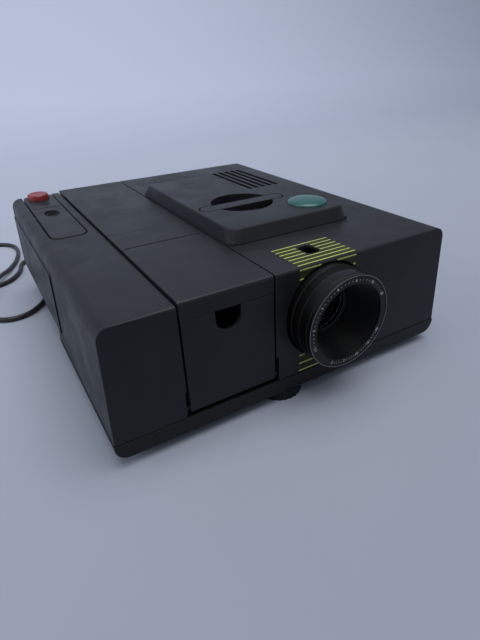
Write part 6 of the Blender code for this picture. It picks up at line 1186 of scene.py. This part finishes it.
def make_screws():
    """Cross-head screws on the underside, the rear panel and the lamp house."""
    under = [(Vector((x * MM, y * MM, BASE)), (0, 0, -1), 0.3 * x, 1.0) for x, y in BASE_SCREWS]
    repeat("base_screws", screw_head(SCREW_RADIUS, SCREW_RISE), under, STEEL, "projector")
    back = [(Vector((x * MM, BACK, z * MM)), (0, 1, 0), 0.2 * z, 0.8) for x, z in REAR_SCREWS]
    repeat("rear_screws", screw_head(SCREW_RADIUS, SCREW_RISE), back, STEEL, "projector")
    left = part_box("lamp_house")[0][0]
    side = [(Vector((left, y * MM, z * MM)), (-1, 0, 0), 0.4 * y, 0.6) for y in HOUSE_SCREWS_Y
            for z in HOUSE_SCREWS_Z]
    repeat("house_screws", screw_head(SCREW_RADIUS, HOUSE_SCREW_RISE), side, STEEL, "projector")


RELIEF_RIBS = 7
RELIEF_RIBS_Y = (6 * MM, 24 * MM)
RELIEF_RADII = (5.2 * MM, 3.9 * MM)
STUD_COUNT = 8
STUD = (0.9 * MM, 0.6 * MM)
STUD_CIRCLE = 6 * MM


def make_grips():
    """Grip ribs on the mains relief, and studs under the fan motor."""
    x, _, z = middle_of("mains_relief")[2]
    ribs = []
    for i in range(RELIEF_RIBS):
        share = i / (RELIEF_RIBS - 1)
        y = BACK + RELIEF_RIBS_Y[0] + (RELIEF_RIBS_Y[1] - RELIEF_RIBS_Y[0]) * share
        ribs.append((Vector((x, y, z)), (0, 1, 0), 0.0,
                     RELIEF_RADII[0] + (RELIEF_RADII[1] - RELIEF_RADII[0]) * share))
    repeat("mains_ribs", ring_band(1.0, 0.16, 0.22), ribs, CORD_RUBBER, "projector")
    low, _, (x, y, _) = middle_of("fan_motor")
    centre = Vector((x, y, low[2]))
    studs = []
    for i in range(STUD_COUNT):
        angle = math.tau * i / STUD_COUNT
        out = Vector((math.cos(angle), math.sin(angle), 0))
        studs.append((centre + out * STUD_CIRCLE, (0, 0, -1), angle, 1.0))
    repeat("motor_studs", bead(*STUD, 10), studs, SHEET_ZINC, "projector")


FOOT_RIBS = 60
FOOT_RIB = (6.2 * MM, 0.9 * MM, 0.35 * MM)
FOOT_RIB_Z = 3.9 * MM


def make_foot_knurl():
    """Fine grip ribs round the screw foot."""
    low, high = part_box("front_foot")
    x, y = (low[0] + high[0]) / 2, (low[1] + high[1]) / 2
    radius = (high[0] - low[0]) / 2 - FOOT_RIB[2]
    places = []
    for i in range(FOOT_RIBS):
        out = Vector((math.cos(math.tau * i / FOOT_RIBS), math.sin(math.tau * i / FOOT_RIBS), 0))
        places.append((Vector((x, y, FOOT_RIB_Z)) + out * radius, out, 0.0, 1.0))
    repeat("foot_ribs", bar(*FOOT_RIB, 0.4), aligned(places, Vector((0, 0, 1))), BASE_BLACK, "front_foot")


# Stage and light


STAGE_NEAR = -2.4
STAGE_BEND = 0.95
STAGE_COVE = 0.9
STAGE_TOP = 3.4
STAGE_HALF = 3.6
# The near floor's colour, and the wall's colour with painted light in it: paler, as the lamps light the wall
# less
FLOOR_COLOUR = colour(0.275, 0.300, 0.362)
WALL_COLOUR_WITH_PAINTED_LIGHT = colour(0.590, 0.635, 0.760)
WORLD_COLOUR = colour(0.60, 0.65, 0.74)
WORLD_STRENGTH = 0.5


def make_stage():
    """A plain pale floor that rises behind the projector in one curve; from in front no horizon shows. Its
    colour grows paler from the near floor up the wall: painted light, standing in for the brighter light on
    the backdrop.
    """
    line = [(STAGE_NEAR, 0.0), (-0.6, 0.0), (0.0, 0.0), (0.5, 0.0), (STAGE_BEND, 0.0)]
    for i in range(1, 25):
        angle = math.radians(90 * i / 24)
        line.append((STAGE_BEND + STAGE_COVE * math.sin(angle), STAGE_COVE * (1 - math.cos(angle))))
    line.append((STAGE_BEND + STAGE_COVE, STAGE_TOP))
    mesh = bpy.data.meshes.new("floor")
    points = [(x, y, z) for y, z in line for x in (-STAGE_HALF, STAGE_HALF)]
    mesh.from_pydata(points, [], [(2 * i, 2 * i + 1, 2 * i + 3, 2 * i + 2) for i in range(len(line) - 1)])
    mesh.shade_smooth()
    made, tree, shader = surface("floor_with_painted_light")
    place = add(tree, "ShaderNodeTexCoord").outputs["Object"]
    parts = add(tree, "ShaderNodeSeparateXYZ", {0: place}).outputs
    # Paler with distance and height: painted light on the rising wall; the small patches are the floor's own
    # uneven tone
    away = maths(tree, "ADD", parts["Y"], parts["Z"])
    share = spread(tree, away, -0.3, 1.5)
    patches = place_group(tree, MOTTLE, Size=0.25)["Mask"]
    share = maths(tree, "ADD", share, maths(tree, "MULTIPLY", patches, 0.02), clamp=True)
    tree.links.new(blended(tree, share, FLOOR_COLOUR, WALL_COLOUR_WITH_PAINTED_LIGHT), shader.inputs["Base Color"])
    shader.inputs["Roughness"].default_value = 0.7
    shader.inputs["Specular IOR Level"].default_value = 0.2
    mesh.materials.append(made)
    floor = in_scene("floor", mesh)


def lamp(name, place, aim, size, power, tint=(1, 1, 1)):
    made = bpy.data.lights.new(name, "AREA")
    made.size = size
    made.energy = power
    made.color = tint
    placed = in_scene(name, made)
    placed.location = place
    placed.rotation_euler = (Vector(aim) - Vector(place)).to_track_quat("-Z", "Y").to_euler()


def make_light():
    world = bpy.data.worlds.new("studio")
    world.use_nodes = True
    tree = world.node_tree
    back = tree.nodes["Background"]
    back.inputs["Color"].default_value = WORLD_COLOUR
    back.inputs["Strength"].default_value = WORLD_STRENGTH
    bpy.context.scene.world = world
    lamp("overhead", (0.1, -0.35, 1.9), (0, 0, 0), 1.7, 27)
    lamp("left_fill", (-1.6, 0.2, 0.8), (0, 0, 0.05), 1.2, 8)
    lamp("wall_wash", (0.8, 0.2, 2.4), (0.9, 1.8, 1.2), 1.4, 9)


bpy.context.scene.view_settings.view_transform = "Standard"
make_camera()
dress_nodes()
make_cords()
make_barrel()
make_lens_ring()
make_ring_scale()
make_lens_cells()
make_top_stripes()
make_front_stripes()
make_handset_details()
make_dock_edge()
make_cover_details()
make_screws()
make_grips()
make_foot_knurl()
make_stage()
make_light()
